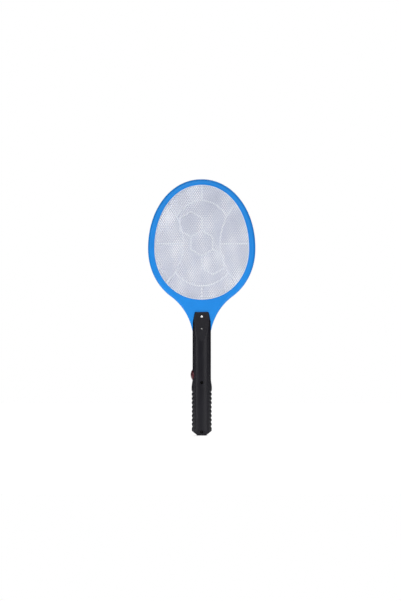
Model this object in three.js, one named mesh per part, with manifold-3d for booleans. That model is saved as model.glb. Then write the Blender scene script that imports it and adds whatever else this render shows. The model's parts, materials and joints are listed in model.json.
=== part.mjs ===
// Electric fly swatter shaped like a small racket: a two-part blue head clamps three metal nets
// and two insulating grilles, and a two-part black handle holds two AA cells, a step-up circuit
// board and a push button. Millimetres. X is across, -Y is the front, +Z runs up to the head's tip.
// Heights in this file are measured from the butt end, and the last step moves the origin up
// to the middle of the grip.
import * as THREE from "three";
import { mergeVertices } from "three/addons/utils/BufferGeometryUtils.js";
import Module from "manifold-3d";

const wasm = await Module();
wasm.setup();

// ---------------------------------------------------------------- driving dimensions
const GAP = 0.3; // clearance between pieces that touch
const GRIP_CENTRE_Z = 50; // where the hand closes, and the part's origin

const HEAD_Z = 335.5; // height of the head's widest line
const HEAD_HALF_WIDTH = 96.5;
const HEAD_RISE = 124.5; // widest line up to the tip
const HEAD_DROP = 107.5; // widest line down to the lower ellipse's end
const HEAD_HALF_THICKNESS = 7;
const HEAD_BEVEL = 2.4;
const FLARE_SINE = 0.83; // where the lower ellipse passes into the neck's hollow curve
const FLARE_RADIUS = 98;

const OPENING_HALF_WIDTH = 85;
const OPENING_RISE = 114.5;
const OPENING_DROP = 92.5;
const POCKET_GROWTH = 5; // the stack's seat, beyond the visible opening
const POCKET_DEPTH = 4.2;
const STACK_GROWTH = 4.4; // the nets and grilles, beyond the visible opening
const WHITE_LIP = 1.3; // how much of each grille's rim shows inside the opening

const NET_THICKNESS = 0.6;
const GUARD_Y = 3.6; // middle of an outer net
const NET_STRAND = 1.2;
const NET_PITCH = 18; // from strand to strand, coarser than a real net's 4.8
const NET_ANGLE = THREE.MathUtils.degToRad(59);
const NET_RIM = 2;

const GRILLE_THICKNESS = 2.4;
const GRILLE_Y = 1.8;
const RIB = 3;
const RIB_CENTRE_Z = 345;
const ARCH_HALF_HEIGHT = 76.5;
const UPPER_ARCH = { halfWidth: 57.5, halfAngle: 51 };
const LOWER_ARCH = { halfWidth: 66, halfAngle: 46 };
const BOW_RADIUS = 98; // side ribs are arcs that bow in towards the middle
const BOW_CENTRE_X = 131;
const BOW_HALF_ANGLE = 62;
const CELL_RADIUS = 22.6; // the three honeycomb cells in the middle

const HANDLE_TOP_Z = 221.5; // tip of the tongues
const SHOULDER_Z = 187; // where the head's neck meets the handle's walls
const RAMP_Z = 169; // where the sloping flat runs out into the crown
const HALF_WIDTH = 16.5;
const GRIP_HALF_WIDTH = 18.1;
const CROWN_Y = 13.5; // half thickness along the middle
const CROWN_EDGE = { x: 13, y: 11 };
const SIDE_Y = 2.6; // where the sloping shoulders would end, beyond the flat sides
const TONGUE_Y = 9.3; // half thickness at the tongues' tip
const BUTT = { x: 9.2, y: 8.6, z: 1.8 };
const BUTT_CHAMFER_Z = 8.0;
const WALL = 2;
const CAVITY_HALF_WIDTH = 14.6;
const CAVITY_FLOOR_Z = 11;

const GROOVE_COUNT = 9; // finger grooves down each side of the grip
const GROOVE_TOP_Z = 77.5;
const GROOVE_PITCH = 7.7;
const GROOVE_WIDTH = 4;
const GROOVE_DEPTH = 1.4;

const TANG_HALF_WIDTH = 11.5;
const TANG_END_Z = 163;
const LEAD_GROOVE = { x: 6.5, halfWidth: 2, halfDepth: 2.6 };

const SCREW_SHANK = 1.45;
const SCREW_HEAD = { radius: 2.6, height: 1.35 };
const SCREW_HOLE = 1.8;
const SCREW_BORE = 2.95; // well that the head sits in
const NECK_SCREW = { z: 213.3, headY: -9.75, endY: 8.8 };
const MIDDLE_SCREW = { z: 95.1, headY: -6.6, endY: 9 };
const BUTT_SCREW = { z: 6.6, headY: -7.2, endY: 8 };

const BUTTON = { z: 108.7, radius: 9.8, rise: 3.4, edgeX: -16.5 };
const BUTTON_HOLE = 10.1;
const SWITCH_X = -10.2; // outer face of the switch body
const PLUNGER_TIP_X = -14.2;

const DOOR = { low: 13.3, high: 70.7, halfWidth: 14.2 };
const DOOR_TAB = { halfWidth: 4, reach: 3 }; // snap tab above the door
const CELL = { radius: 7, length: 50.5, x: 7.15, nub: 2.7, nubHeight: 1.3 };
const LOWER_CONTACT_Z = 11.3;
const UPPER_CONTACT_Z = 68.3;
const CONTACT_THICKNESS = 0.5;
const BULKHEAD_Z = 69.4;

const BOARD = { y: 3.6, thickness: 1.6, halfWidth: 10.5, low: 100.5, high: 158 };
const LED_Z = 191.6;

// ---------------------------------------------------------------- materials
function finish(color, roughness, metalness = 0) {
  return new THREE.MeshStandardMaterial({ color, roughness, metalness });
}
const BLUE = finish(0x1f8ee8, 0.42);
const BLACK = finish(0x26262a, 0.5);
const WHITE = finish(0xe9ebf2, 0.55);
const ALUMINIUM = finish(0xb9bcc4, 0.4, 1);
const RED = finish(0x8c1426, 0.4);
const STEEL = finish(0xc4c6cb, 0.3, 1);
const NICKEL = finish(0xb0b1ae, 0.35, 1);
const CELL_JACKET = finish(0x2f6b46, 0.4);
const BOARD_BROWN = finish(0xa9762f, 0.7);
const FERRITE = finish(0x35353a, 0.8);
const COPPER = finish(0xb87333, 0.35, 1);
const CAPACITOR_BROWN = finish(0x7a3422, 0.5);
const CERAMIC_BLUE = finish(0x2c6fae, 0.6);
const EPOXY_BLACK = finish(0x18181a, 0.5);
const RESISTOR_TAN = finish(0xd3b98c, 0.6);
const LENS_RED = finish(0xd8d3d0, 0.15);
const LEAD_RED = finish(0xb01a1a, 0.55);
const LEAD_BLACK = finish(0x1c1c1e, 0.55);

// ---------------------------------------------------------------- solids
function solidOf(geometry) {
  const bare = geometry.index ? geometry.toNonIndexed() : geometry.clone();
  bare.deleteAttribute("normal");
  bare.deleteAttribute("uv");
  const merged = mergeVertices(bare, 1e-4);
  return new wasm.Manifold(
    new wasm.Mesh({
      numProp: 3,
      vertProperties: merged.attributes.position.array,
      triVerts: new Uint32Array(merged.index.array),
    }),
  );
}

function geometryOf(solid) {
  const mesh = solid.getMesh();
  const count = mesh.vertProperties.length / mesh.numProp;
  const positions = new Float32Array(count * 3);
  for (let i = 0; i < count; i++) {
    const start = i * mesh.numProp;
    positions.set(mesh.vertProperties.subarray(start, start + 3), i * 3);
  }
  const geometry = new THREE.BufferGeometry();
  geometry.setAttribute("position", new THREE.BufferAttribute(positions, 3));
  geometry.setIndex(new THREE.BufferAttribute(new Uint32Array(mesh.triVerts), 1));
  geometry.computeVertexNormals();
  return geometry;
}

const join = (...solids) => solids.reduce((a, b) => a.add(b));
const cut = (solid, ...tools) => tools.reduce((a, b) => a.subtract(b), solid);
const common = (...solids) => solids.reduce((a, b) => a.intersect(b));
const points = (pairs) => pairs.map(([x, y]) => new THREE.Vector2(x, y));

function block([x0, y0, z0], [x1, y1, z1]) {
  const box = new THREE.BoxGeometry(x1 - x0, y1 - y0, z1 - z0);
  return solidOf(box.translate((x0 + x1) / 2, (y0 + y1) / 2, (z0 + z1) / 2));
}

// A front-view outline (x, z) made solid from yFront to yRear.
function slab(shape, yFront, yRear) {
  const depth = yRear - yFront;
  const made = new THREE.ExtrudeGeometry(shape, { depth, bevelEnabled: false });
  return solidOf(made.rotateX(Math.PI / 2).translate(0, yRear, 0));
}

// A side-view outline (y, z) made solid across the width.
function sideways(shape, halfWidth) {
  const made = new THREE.ExtrudeGeometry(shape, { depth: 2 * halfWidth, bevelEnabled: false });
  const turn = new THREE.Matrix4().makeBasis(
    new THREE.Vector3(0, 1, 0),
    new THREE.Vector3(0, 0, 1),
    new THREE.Vector3(1, 0, 0),
  );
  return solidOf(made.applyMatrix4(turn).translate(-halfWidth, 0, 0));
}

// A plan-view outline (x, y) made solid from zLow to zHigh.
function column(shape, zLow, zHigh) {
  const depth = zHigh - zLow;
  const made = new THREE.ExtrudeGeometry(shape, { depth, bevelEnabled: false });
  return solidOf(made.translate(0, 0, zLow));
}

// A turned solid. Its profile is (radius, distance along the axis), from axis to axis.
function turned(profile, axis, at, sides = 20) {
  const made = new THREE.LatheGeometry(points(profile), sides);
  const turn = new THREE.Quaternion().setFromUnitVectors(new THREE.Vector3(0, 1, 0), axis);
  const solid = solidOf(made.applyQuaternion(turn).translate(...at));
  return solid;
}
const ALONG_X = new THREE.Vector3(1, 0, 0);
const ALONG_Y = new THREE.Vector3(0, 1, 0);
const ALONG_Z = new THREE.Vector3(0, 0, 1);

function rod(radius, axis, from, length, sides = 16) {
  const profile = [
    [0, 0],
    [radius, 0],
    [radius, length],
    [0, length],
  ];
  return turned(profile, axis, from, sides);
}

// A round wire or lead along a smooth curve.
function wire(route, radius, steps, sides = 8) {
  const section = new THREE.Shape();
  for (let i = 0; i < sides; i++) {
    const angle = (i / sides) * 2 * Math.PI;
    const x = radius * Math.cos(angle);
    const y = radius * Math.sin(angle);
    if (i === 0) section.moveTo(x, y);
    else section.lineTo(x, y);
  }
  section.closePath();
  const extrudePath = new THREE.CatmullRomCurve3(
    route.map((p) => new THREE.Vector3(...p)),
    false,
    "centripetal",
  );
  return solidOf(new THREE.ExtrudeGeometry(section, { steps, extrudePath, bevelEnabled: false }));
}

// ---------------------------------------------------------------- outlines
// An egg of two half ellipses that share a width, grown evenly by `growth`.
function eggPoints(growth, count) {
  const made = [];
  for (let i = 0; i < count; i++) {
    const angle = (i / count) * 2 * Math.PI;
    const rise = Math.sin(angle) > 0 ? OPENING_RISE : OPENING_DROP;
    made.push([
      (OPENING_HALF_WIDTH + growth) * Math.cos(angle),
      HEAD_Z + (rise + growth) * Math.sin(angle),
    ]);
  }
  return made;
}
const eggShape = (growth, count = 60) => new THREE.Shape(points(eggPoints(growth, count)));

// The head's outside: two half ellipses, a hollow flare each side, then the tang.
function headShape() {
  const flareStart = Math.asin(FLARE_SINE);
  const from = new THREE.Vector2(
    HEAD_HALF_WIDTH * Math.cos(flareStart),
    HEAD_Z - HEAD_DROP * FLARE_SINE,
  );
  const normal = new THREE.Vector2(
    Math.cos(flareStart) / HEAD_HALF_WIDTH,
    -FLARE_SINE / HEAD_DROP,
  ).normalize();
  const centre = from.clone().addScaledVector(normal, FLARE_RADIUS);
  const startAngle = Math.atan2(from.y - centre.y, from.x - centre.x);
  const endAngle = Math.PI - Math.asin((SHOULDER_Z + GAP - centre.y) / FLARE_RADIUS);
  const right = [];
  const EGG_STEPS = 24;
  const FLARE_STEPS = 8;
  for (let i = 0; i <= EGG_STEPS; i++) {
    const angle = Math.PI / 2 - (i / EGG_STEPS) * (Math.PI / 2 + flareStart);
    const reach = angle > 0 ? HEAD_RISE : HEAD_DROP;
    right.push([HEAD_HALF_WIDTH * Math.cos(angle), HEAD_Z + reach * Math.sin(angle)]);
  }
  for (let i = 1; i <= FLARE_STEPS; i++) {
    const angle = startAngle + ((endAngle - startAngle) * i) / FLARE_STEPS;
    right.push([
      centre.x + FLARE_RADIUS * Math.cos(angle),
      centre.y + FLARE_RADIUS * Math.sin(angle),
    ]);
  }
  right.push([TANG_HALF_WIDTH, SHOULDER_Z + GAP]);
  right.push([TANG_HALF_WIDTH, TANG_END_Z + 2]);
  right.push([TANG_HALF_WIDTH - 2, TANG_END_Z]);
  const left = right
    .slice(1)
    .reverse()
    .map(([x, z]) => [-x, z]);
  return new THREE.Shape(points([...right, ...left]));
}

// The handle from the front: a stepped butt, grooved grip, straight waist and tapered tongue.
function handleShape() {
  const right = [
    [BUTT.x - 0.6, 0],
    [BUTT.x, BUTT.z],
    [GRIP_HALF_WIDTH, BUTT_CHAMFER_Z],
  ];
  const ARC_STEPS = 4;
  for (let i = GROOVE_COUNT - 1; i >= 0; i--) {
    const centre = GROOVE_TOP_Z - i * GROOVE_PITCH;
    for (let k = 0; k <= ARC_STEPS; k++) {
      const angle = (k / ARC_STEPS) * Math.PI;
      right.push([
        GRIP_HALF_WIDTH - GROOVE_DEPTH * Math.sin(angle),
        centre - (GROOVE_WIDTH / 2) * Math.cos(angle),
      ]);
    }
  }
  right.push(
    [GRIP_HALF_WIDTH + 0.2, 84],
    [GRIP_HALF_WIDTH - 0.2, 90],
    [HALF_WIDTH, 98],
    [HALF_WIDTH, SHOULDER_Z],
    [HALF_WIDTH - 0.3, SHOULDER_Z],
    [16, 204],
    [13.2, 219],
    [11.8, HANDLE_TOP_Z],
  );
  const left = right
    .slice()
    .reverse()
    .map(([x, z]) => [-x, z]);
  return new THREE.Shape(points([...right, ...left]));
}

// The handle's room from the front, inside its walls.
function cavityShape() {
  const right = [
    [CAVITY_HALF_WIDTH, CAVITY_FLOOR_Z],
    [CAVITY_HALF_WIDTH, SHOULDER_Z - GAP],
    [13.6, SHOULDER_Z - GAP],
    [13.4, 204],
    [10, HANDLE_TOP_Z - WALL],
  ];
  const left = right
    .slice()
    .reverse()
    .map(([x, z]) => [-x, z]);
  return new THREE.Shape(points([...right, ...left]));
}

// The handle's section, a crowned face front and rear with sloping shoulders, drawn in by `inset`.
function sectionShape(inset) {
  const edgeX = CROWN_EDGE.x - inset / 2;
  const edgeY = CROWN_EDGE.y - inset;
  const rise = CROWN_Y - CROWN_EDGE.y;
  const radius = (edgeX * edgeX + rise * rise) / (2 * rise);
  const CROWN_STEPS = 8;
  const sideX = GRIP_HALF_WIDTH + 1 - inset;
  const sideY = SIDE_Y - inset / 2;
  const front = [[-sideX, -sideY]];
  for (let i = 0; i <= CROWN_STEPS; i++) {
    const x = -edgeX + (2 * edgeX * i) / CROWN_STEPS;
    front.push([x, -(edgeY + rise - radius + Math.sqrt(radius * radius - x * x))]);
  }
  front.push([sideX, -sideY]);
  const rear = front.map(([x, y]) => [-x, -y]);
  return new THREE.Shape(points([...front, ...rear]));
}

// The handle from the side: stepped butt, straight body, sloping flats up to thin tongues.
function profileShape(inset) {
  const front = [
    [-(BUTT.y - 0.6), 0],
    [-BUTT.y, BUTT.z],
    [-(CROWN_Y - inset), BUTT_CHAMFER_Z],
    [-(CROWN_Y - inset), RAMP_Z],
    [-(TONGUE_Y - inset), HANDLE_TOP_Z],
  ];
  const rear = front
    .slice()
    .reverse()
    .map(([y, z]) => [-y, z]);
  return new THREE.Shape(points([...front, ...rear]));
}

// ---------------------------------------------------------------- the part
const racket = new THREE.Group();
const head = new THREE.Group();
const handle = new THREE.Group();
const electronics = new THREE.Group();
racket.add(head, handle, electronics);

function place(group, name, solid, material) {
  const mesh = new THREE.Mesh(geometryOf(solid), material);
  mesh.name = name;
  group.add(mesh);
}

// ---------------------------------------------------------------- head
function frameHalf(side) {
  const HALF_SEAM = 0.15;
  const body = new THREE.ExtrudeGeometry(headShape(), {
    depth: 2 * (HEAD_HALF_THICKNESS - HEAD_BEVEL),
    bevelThickness: HEAD_BEVEL,
    bevelSize: HEAD_BEVEL,
    bevelOffset: -HEAD_BEVEL,
    bevelSegments: 2,
  });
  const whole = solidOf(
    body.rotateX(Math.PI / 2).translate(0, HEAD_HALF_THICKNESS - HEAD_BEVEL, 0),
  );
  const seam = side * HALF_SEAM;
  const far = side * 2 * HEAD_HALF_THICKNESS;
  const keep = block([-200, Math.min(seam, far), 0], [200, Math.max(seam, far), 500]);
  const pocket = slab(eggShape(POCKET_GROWTH, 48), -POCKET_DEPTH, POCKET_DEPTH);
  const grooves = [-1, 1].map((s) =>
    block(
      [s * LEAD_GROOVE.x - LEAD_GROOVE.halfWidth, -LEAD_GROOVE.halfDepth, TANG_END_Z - 5],
      [s * LEAD_GROOVE.x + LEAD_GROOVE.halfWidth, LEAD_GROOVE.halfDepth, HEAD_Z - OPENING_DROP],
    ),
  );
  const screwHole = rod(SCREW_HOLE, ALONG_Y, [0, -20, NECK_SCREW.z], 40);
  return cut(common(whole, keep), slab(eggShape(0), -20, 20), pocket, ...grooves, screwHole);
}

// A net of crossing strands inside a narrow rim.
function net(y, shift, pitch) {
  const front = y - NET_THICKNESS / 2;
  const rear = y + NET_THICKNESS / 2;
  const outside = eggShape(STACK_GROWTH, 40);
  const ring = cut(slab(outside, front, rear), slab(eggShape(STACK_GROWTH - NET_RIM, 40), -20, 20));
  const LINES = 7;
  const HALF_LENGTH = 140;
  const strands = [];
  for (const lean of [-1, 1]) {
    for (let i = -LINES; i <= LINES; i++) {
      const strand = new THREE.BoxGeometry(NET_STRAND, NET_THICKNESS, 2 * HALF_LENGTH);
      strand.translate((i + shift) * pitch, y, 0);
      strand.rotateY(lean * (Math.PI / 2 - NET_ANGLE)).translate(0, 0, HEAD_Z + 10);
      strands.push(solidOf(strand));
    }
  }
  return join(ring, common(join(...strands), slab(outside, front, rear)));
}

// A rib of even width along a front-view line.
function rib(line, y) {
  const path = points(line);
  const offset = (side) =>
    path.map((p, i) => {
      const before = path[Math.max(i - 1, 0)];
      const after = path[Math.min(i + 1, path.length - 1)];
      const along = after.clone().sub(before).normalize();
      return new THREE.Vector2(p.x - (side * along.y * RIB) / 2, p.y + (side * along.x * RIB) / 2);
    });
  const shape = new THREE.Shape([...offset(-1), ...offset(1).reverse()]);
  return slab(shape, y - GRILLE_THICKNESS / 2, y + GRILLE_THICKNESS / 2);
}

// Points on an ellipse about (x, RIB_CENTRE_Z), halfAngle degrees each way from startAngle.
function ellipseArc(x, halfWidth, halfHeight, startAngle, halfAngle, steps) {
  const made = [];
  for (let i = -steps; i <= steps; i++) {
    const angle = startAngle + (i / steps) * THREE.MathUtils.degToRad(halfAngle);
    made.push([x + halfWidth * Math.cos(angle), RIB_CENTRE_Z + halfHeight * Math.sin(angle)]);
  }
  return made;
}

// Insulating grille: rim, crossing spokes, an arch above and below, two side ribs that
// bow inwards, and three honeycomb cells in the middle.
function grille(y) {
  const front = y - GRILLE_THICKNESS / 2;
  const rear = y + GRILLE_THICKNESS / 2;
  const outside = slab(eggShape(STACK_GROWTH, 48), front, rear);
  const rim = cut(outside, slab(eggShape(-WHITE_LIP), -20, 20));
  const centre = RIB_CENTRE_Z;
  const ribs = [
    rib([[0, centre + ARCH_HALF_HEIGHT], [0, centre + 120]], y),
    rib([[0, centre - ARCH_HALF_HEIGHT], [0, centre - 115]], y),
  ];
  for (const side of [-1, 1]) {
    const middle = side > 0 ? Math.PI : 0;
    const waist = BOW_CENTRE_X - BOW_RADIUS;
    const bow = [side * BOW_CENTRE_X, BOW_RADIUS, BOW_RADIUS, middle, BOW_HALF_ANGLE, 8];
    ribs.push(rib([[side * waist, centre], [side * 95, centre]], y));
    ribs.push(rib(ellipseArc(...bow), y));
  }
  for (const [up, { halfWidth, halfAngle }] of [[1, UPPER_ARCH], [-1, LOWER_ARCH]]) {
    const arch = [0, halfWidth, ARCH_HALF_HEIGHT, (up * Math.PI) / 2, halfAngle, 6];
    ribs.push(rib(ellipseArc(...arch), y));
  }
  for (const step of [-1, 0, 1]) {
    const cellAt = [(step * CELL_RADIUS * Math.sqrt(3)) / 2, centre - 1.5 * step * CELL_RADIUS];
    ribs.push(honeycombCell(cellAt, front, rear));
  }
  return common(join(rim, ...ribs), outside);
}

function honeycombCell([x, z], front, rear) {
  const hexagon = (radius) =>
    [0, 1, 2, 3, 4, 5].map((i) => {
      const angle = Math.PI / 2 + (i * Math.PI) / 3;
      return [x + radius * Math.cos(angle), z + radius * Math.sin(angle)];
    });
  const grow = RIB / 2 / Math.cos(Math.PI / 6);
  const shape = new THREE.Shape(points(hexagon(CELL_RADIUS + grow)));
  shape.holes.push(new THREE.Path(points(hexagon(CELL_RADIUS - grow))));
  return slab(shape, front, rear);
}

place(head, "front_head_frame", frameHalf(-1), BLUE);
place(head, "rear_head_frame", frameHalf(1), BLUE);
place(head, "front_guard_net", net(-GUARD_Y, 0, NET_PITCH), ALUMINIUM);
place(head, "front_insulating_grille", grille(-GRILLE_Y), WHITE);
place(head, "live_net", net(0, 0.5, NET_PITCH), ALUMINIUM);
place(head, "rear_insulating_grille", grille(GRILLE_Y), WHITE);
place(head, "rear_guard_net", net(GUARD_Y, 0, NET_PITCH), ALUMINIUM);

// ---------------------------------------------------------------- handle shells and door
function handleBody() {
  return common(
    slab(handleShape(), -20, 20),
    column(sectionShape(0), -1, HANDLE_TOP_Z + 1),
    sideways(profileShape(0), 25),
  );
}

function handleRoom() {
  return common(
    slab(cavityShape(), -20, 20),
    column(sectionShape(WALL), CAVITY_FLOOR_Z, HANDLE_TOP_Z),
    sideways(profileShape(WALL), 25),
  );
}

const buttonHole = () => rod(BUTTON_HOLE, ALONG_X, [-25, 0, BUTTON.z], 14.6, 28);
const neckRoom = () =>
  block(
    [-30, -(HEAD_HALF_THICKNESS + GAP), SHOULDER_Z],
    [30, HEAD_HALF_THICKNESS + GAP, HANDLE_TOP_Z + 5],
  );

// A wall across the handle between the cells and the circuit board, with a gap for the leads.
function bulkhead(yFrom, yTo) {
  const BULKHEAD_THICKNESS = 1.8;
  const wall = block(
    [-CAVITY_HALF_WIDTH - 1, yFrom, BULKHEAD_Z],
    [CAVITY_HALF_WIDTH + 1, yTo, BULKHEAD_Z + BULKHEAD_THICKNESS],
  );
  const inside = column(sectionShape(WALL / 2), BULKHEAD_Z - 1, BULKHEAD_Z + 5);
  const notch = block([-3.5, -3, BULKHEAD_Z - 1], [3.5, 3, BULKHEAD_Z + 5]);
  return cut(common(wall, inside), notch);
}

function frontShell() {
  const keep = block([-30, -30, -1], [30, -0.15, HANDLE_TOP_Z + 1]);
  const MIDDLE_BOSS = 4.4;
  const boss = rod(MIDDLE_BOSS, ALONG_Y, [0, -12.4, MIDDLE_SCREW.z], 12.1);
  const neckBoss = rod(4.4, ALONG_Y, [0, -9.2, NECK_SCREW.z], 9.2 - HEAD_HALF_THICKNESS - GAP);
  const walls = cut(common(handleBody(), keep), handleRoom(), neckRoom());
  const made = join(walls, boss, neckBoss, bulkhead(-12, -0.15));
  const wells = [NECK_SCREW, MIDDLE_SCREW, BUTT_SCREW].flatMap(({ z, headY }) => [
    rod(SCREW_BORE, ALONG_Y, [0, -20, z], 20 + headY + SCREW_HEAD.height + GAP),
    rod(SCREW_HOLE, ALONG_Y, [0, -20, z], 25),
  ]);
  const LED_HOLE = 1.85;
  const ledHole = rod(LED_HOLE, ALONG_Y, [0, -20, LED_Z], 13);
  return cut(made, buttonHole(), ledHole, ...wells);
}

function rearShell() {
  const keep = block([-30, 0.15, -1], [30, 30, HANDLE_TOP_Z + 1]);
  const MIDDLE_BOSS = 3.9;
  const BOARD_BOSS = 2.4;
  const boss = rod(MIDDLE_BOSS, ALONG_Y, [0, 0.3, MIDDLE_SCREW.z], 12.1);
  const boardBosses = BOARD_SCREWS.map(({ x, z }) =>
    rod(BOARD_BOSS, ALONG_Y, [x, BOARD.y + BOARD.thickness + GAP, z], 6.6, 12),
  );
  const neckFace = HEAD_HALF_THICKNESS + GAP;
  const neckBoss = rod(4, ALONG_Y, [0, neckFace, NECK_SCREW.z], 9.2 - neckFace);
  const walls = cut(common(handleBody(), keep), handleRoom(), neckRoom());
  const made = join(walls, boss, neckBoss, ...boardBosses, bulkhead(3, 12));
  const holes = [NECK_SCREW, MIDDLE_SCREW, BUTT_SCREW].map(({ z, endY }) =>
    rod(SCREW_HOLE, ALONG_Y, [0, -1, z], 1 + endY + GAP),
  );
  const boardHoles = BOARD_SCREWS.map(({ x, z }) => rod(1.2, ALONG_Y, [x, 2, z], 8.2, 12));
  const doorway = block(
    [-DOOR.halfWidth - GAP, 5, DOOR.low - GAP],
    [DOOR.halfWidth + GAP, 30, DOOR.high + GAP],
  );
  const tabNotch = block(
    [-DOOR_TAB.halfWidth - GAP, 9, DOOR.high],
    [DOOR_TAB.halfWidth + GAP, 30, DOOR.high + DOOR_TAB.reach + GAP],
  );
  return cut(made, buttonHole(), doorway, tabNotch, ...holes, ...boardHoles);
}

function batteryDoor() {
  const outline = join(
    block([-DOOR.halfWidth, 5, DOOR.low], [DOOR.halfWidth, 30, DOOR.high]),
    block(
      [-DOOR_TAB.halfWidth, 9.4, DOOR.high - 1],
      [DOOR_TAB.halfWidth, 30, DOOR.high + DOOR_TAB.reach],
    ),
  );
  const panel = cut(common(handleBody(), outline), column(sectionShape(WALL), 0, 100));
  const RIDGE_COUNT = 4;
  const RIDGE_PITCH = 2.4;
  const fingerGrooves = Array.from({ length: RIDGE_COUNT }, (_, i) => {
    const z = DOOR.high - 6 - i * RIDGE_PITCH;
    return block([-7, CROWN_Y - 0.5, z], [7, CROWN_Y + 1, z + 1.1]);
  });
  return cut(panel, ...fingerGrooves);
}

const BOARD_SCREWS = [
  { x: -7.8, z: 128 },
  { x: 7.8, z: 103.4 },
];

place(handle, "front_handle_shell", frontShell(), BLACK);
place(handle, "rear_handle_shell", rearShell(), BLACK);
place(handle, "battery_door", batteryDoor(), BLACK);

// ---------------------------------------------------------------- fasteners
// A cross-recessed self-tapping screw along +Y, with its head towards the front.
function screw([x, y, z], length, shank, head) {
  const profile = [
    [0, 0],
    [head.radius * 0.8, 0],
    [head.radius, head.height * 0.45],
    [head.radius, head.height],
    [shank, head.height],
    [shank, length - shank],
    [0, length],
  ];
  const made = turned(profile, ALONG_Y, [x, y, z], 12);
  const arm = head.radius * 0.62;
  const half = head.radius * 0.14;
  const depth = head.height * 0.6;
  const recess = [
    block([x - arm, y - 1, z - half], [x + arm, y + depth, z + half]),
    block([x - half, y - 1, z - arm], [x + half, y + depth, z + arm]),
  ];
  return cut(made, ...recess);
}

for (const [name, { z, headY, endY }] of Object.entries({
  neck_screw: NECK_SCREW,
  middle_screw: MIDDLE_SCREW,
  butt_screw: BUTT_SCREW,
})) {
  place(handle, name, screw([0, headY, z], endY - headY, SCREW_SHANK, SCREW_HEAD), STEEL);
}
BOARD_SCREWS.forEach(({ x, z }, i) => {
  const head = { radius: 1.8, height: 1.2 };
  const at = [x, BOARD.y - GAP - head.height, z];
  const name = i === 0 ? "upper_board_screw" : "lower_board_screw";
  place(handle, name, screw(at, 6.4, 0.85, head), STEEL);
});

// ---------------------------------------------------------------- cells and contacts
function cellSolid(x, baseZ, up) {
  const jacket = CELL.length - CELL.nubHeight;
  const profile = [
    [0, 0],
    [CELL.radius - 0.5, 0],
    [CELL.radius, 0.5],
    [CELL.radius, jacket - 0.5],
    [CELL.radius - 0.5, jacket],
    [CELL.nub, jacket],
    [CELL.nub, CELL.length],
    [0, CELL.length],
  ];
  const axis = new THREE.Vector3(0, 0, up ? 1 : -1);
  return turned(profile, axis, [x, 0, up ? baseZ : baseZ + CELL.length], 24);
}

const SPRING_HEIGHT = 4.6;
const lowerFace = LOWER_CONTACT_Z + CONTACT_THICKNESS + GAP;
const leftCellZ = lowerFace + SPRING_HEIGHT + GAP;
const rightCellZ = lowerFace;
place(handle, "left_cell", cellSolid(-CELL.x, leftCellZ, true), CELL_JACKET);
place(handle, "right_cell", cellSolid(CELL.x, rightCellZ, false), CELL_JACKET);

// A conical coil spring, wide at its contact plate and narrow at the cell.
function coilSpring(x, fromZ, toZ) {
  const TURNS = 3;
  const STEPS_A_TURN = 9;
  const WIRE = 0.4;
  const WIDE = 4.4;
  const NARROW = 2.6;
  const direction = Math.sign(toZ - fromZ);
  const rise = Math.abs(toZ - fromZ) - 2 * WIRE;
  const route = [];
  for (let i = 0; i <= TURNS * STEPS_A_TURN; i++) {
    const share = i / (TURNS * STEPS_A_TURN);
    const angle = (i / STEPS_A_TURN) * 2 * Math.PI;
    const radius = WIDE + (NARROW - WIDE) * share;
    route.push([
      x + radius * Math.cos(angle),
      radius * Math.sin(angle),
      fromZ + direction * (WIRE + rise * share),
    ]);
  }
  return wire(route, WIRE, TURNS * STEPS_A_TURN, 5);
}

function contactPlate([x0, x1], z) {
  return block([x0, -5.5, z], [x1, 5.5, z + CONTACT_THICKNESS]);
}
place(handle, "bridge_contact", contactPlate([-12.5, 12.5], LOWER_CONTACT_Z), NICKEL);
place(handle, "positive_contact", contactPlate([-12, -2.6], UPPER_CONTACT_Z), NICKEL);
place(handle, "negative_contact", contactPlate([2.6, 12], UPPER_CONTACT_Z), NICKEL);
place(handle, "lower_cell_spring", coilSpring(-CELL.x, lowerFace, leftCellZ - GAP), NICKEL);
place(
  handle,
  "upper_cell_spring",
  coilSpring(CELL.x, UPPER_CONTACT_Z - GAP, rightCellZ + CELL.length + GAP),
  NICKEL,
);

// ---------------------------------------------------------------- button and switch
// A domed disc with a hollow skirt and two ears that keep it behind the wall.
function buttonSolid() {
  const { z, radius, rise, edgeX } = BUTTON;
  const SKIRT_END = 3.7; // from the dome's edge inwards
  const DISC = 0.9;
  const BORE = radius - 1.6;
  const sphere = (radius * radius + rise * rise) / (2 * rise);
  const DOME_STEPS = 5;
  const profile = [[0, -rise]];
  for (let i = 1; i <= DOME_STEPS; i++) {
    const angle = (i / DOME_STEPS) * Math.asin(radius / sphere);
    profile.push([sphere * Math.sin(angle), sphere * (1 - Math.cos(angle)) - rise]);
  }
  profile.push([radius, SKIRT_END], [BORE, SKIRT_END], [BORE, DISC], [0, DISC]);
  const cap = turned(profile, ALONG_X, [edgeX, 0, z], 28);
  const stem = rod(2.2, ALONG_X, [edgeX + DISC - 0.1, 0, z], PLUNGER_TIP_X - GAP - edgeX - DISC + 0.1, 12);
  const EAR_Z = 12.2;
  const ears = [-1, 1].map((side) => {
    const zs = [z + side * (radius - 1.2), z + side * EAR_Z].sort((a, b) => a - b);
    return block([edgeX + 2.2, -5, zs[0]], [edgeX + SKIRT_END, 5, zs[1]]);
  });
  return join(cap, stem, ...ears);
}
place(handle, "power_button", buttonSolid(), RED);

place(
  electronics,
  "push_switch_body",
  cut(
    block([SWITCH_X, -3.2, BUTTON.z - 4], [SWITCH_X + 7.5, BOARD.y - GAP, BUTTON.z + 4]),
    rod(1.9, ALONG_X, [SWITCH_X - 1, 0, BUTTON.z], 6, 12),
  ),
  EPOXY_BLACK,
);
place(
  electronics,
  "push_switch_plunger",
  rod(1.6, ALONG_X, [PLUNGER_TIP_X, 0, BUTTON.z], 6.6, 12),
  WHITE,
);

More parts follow.
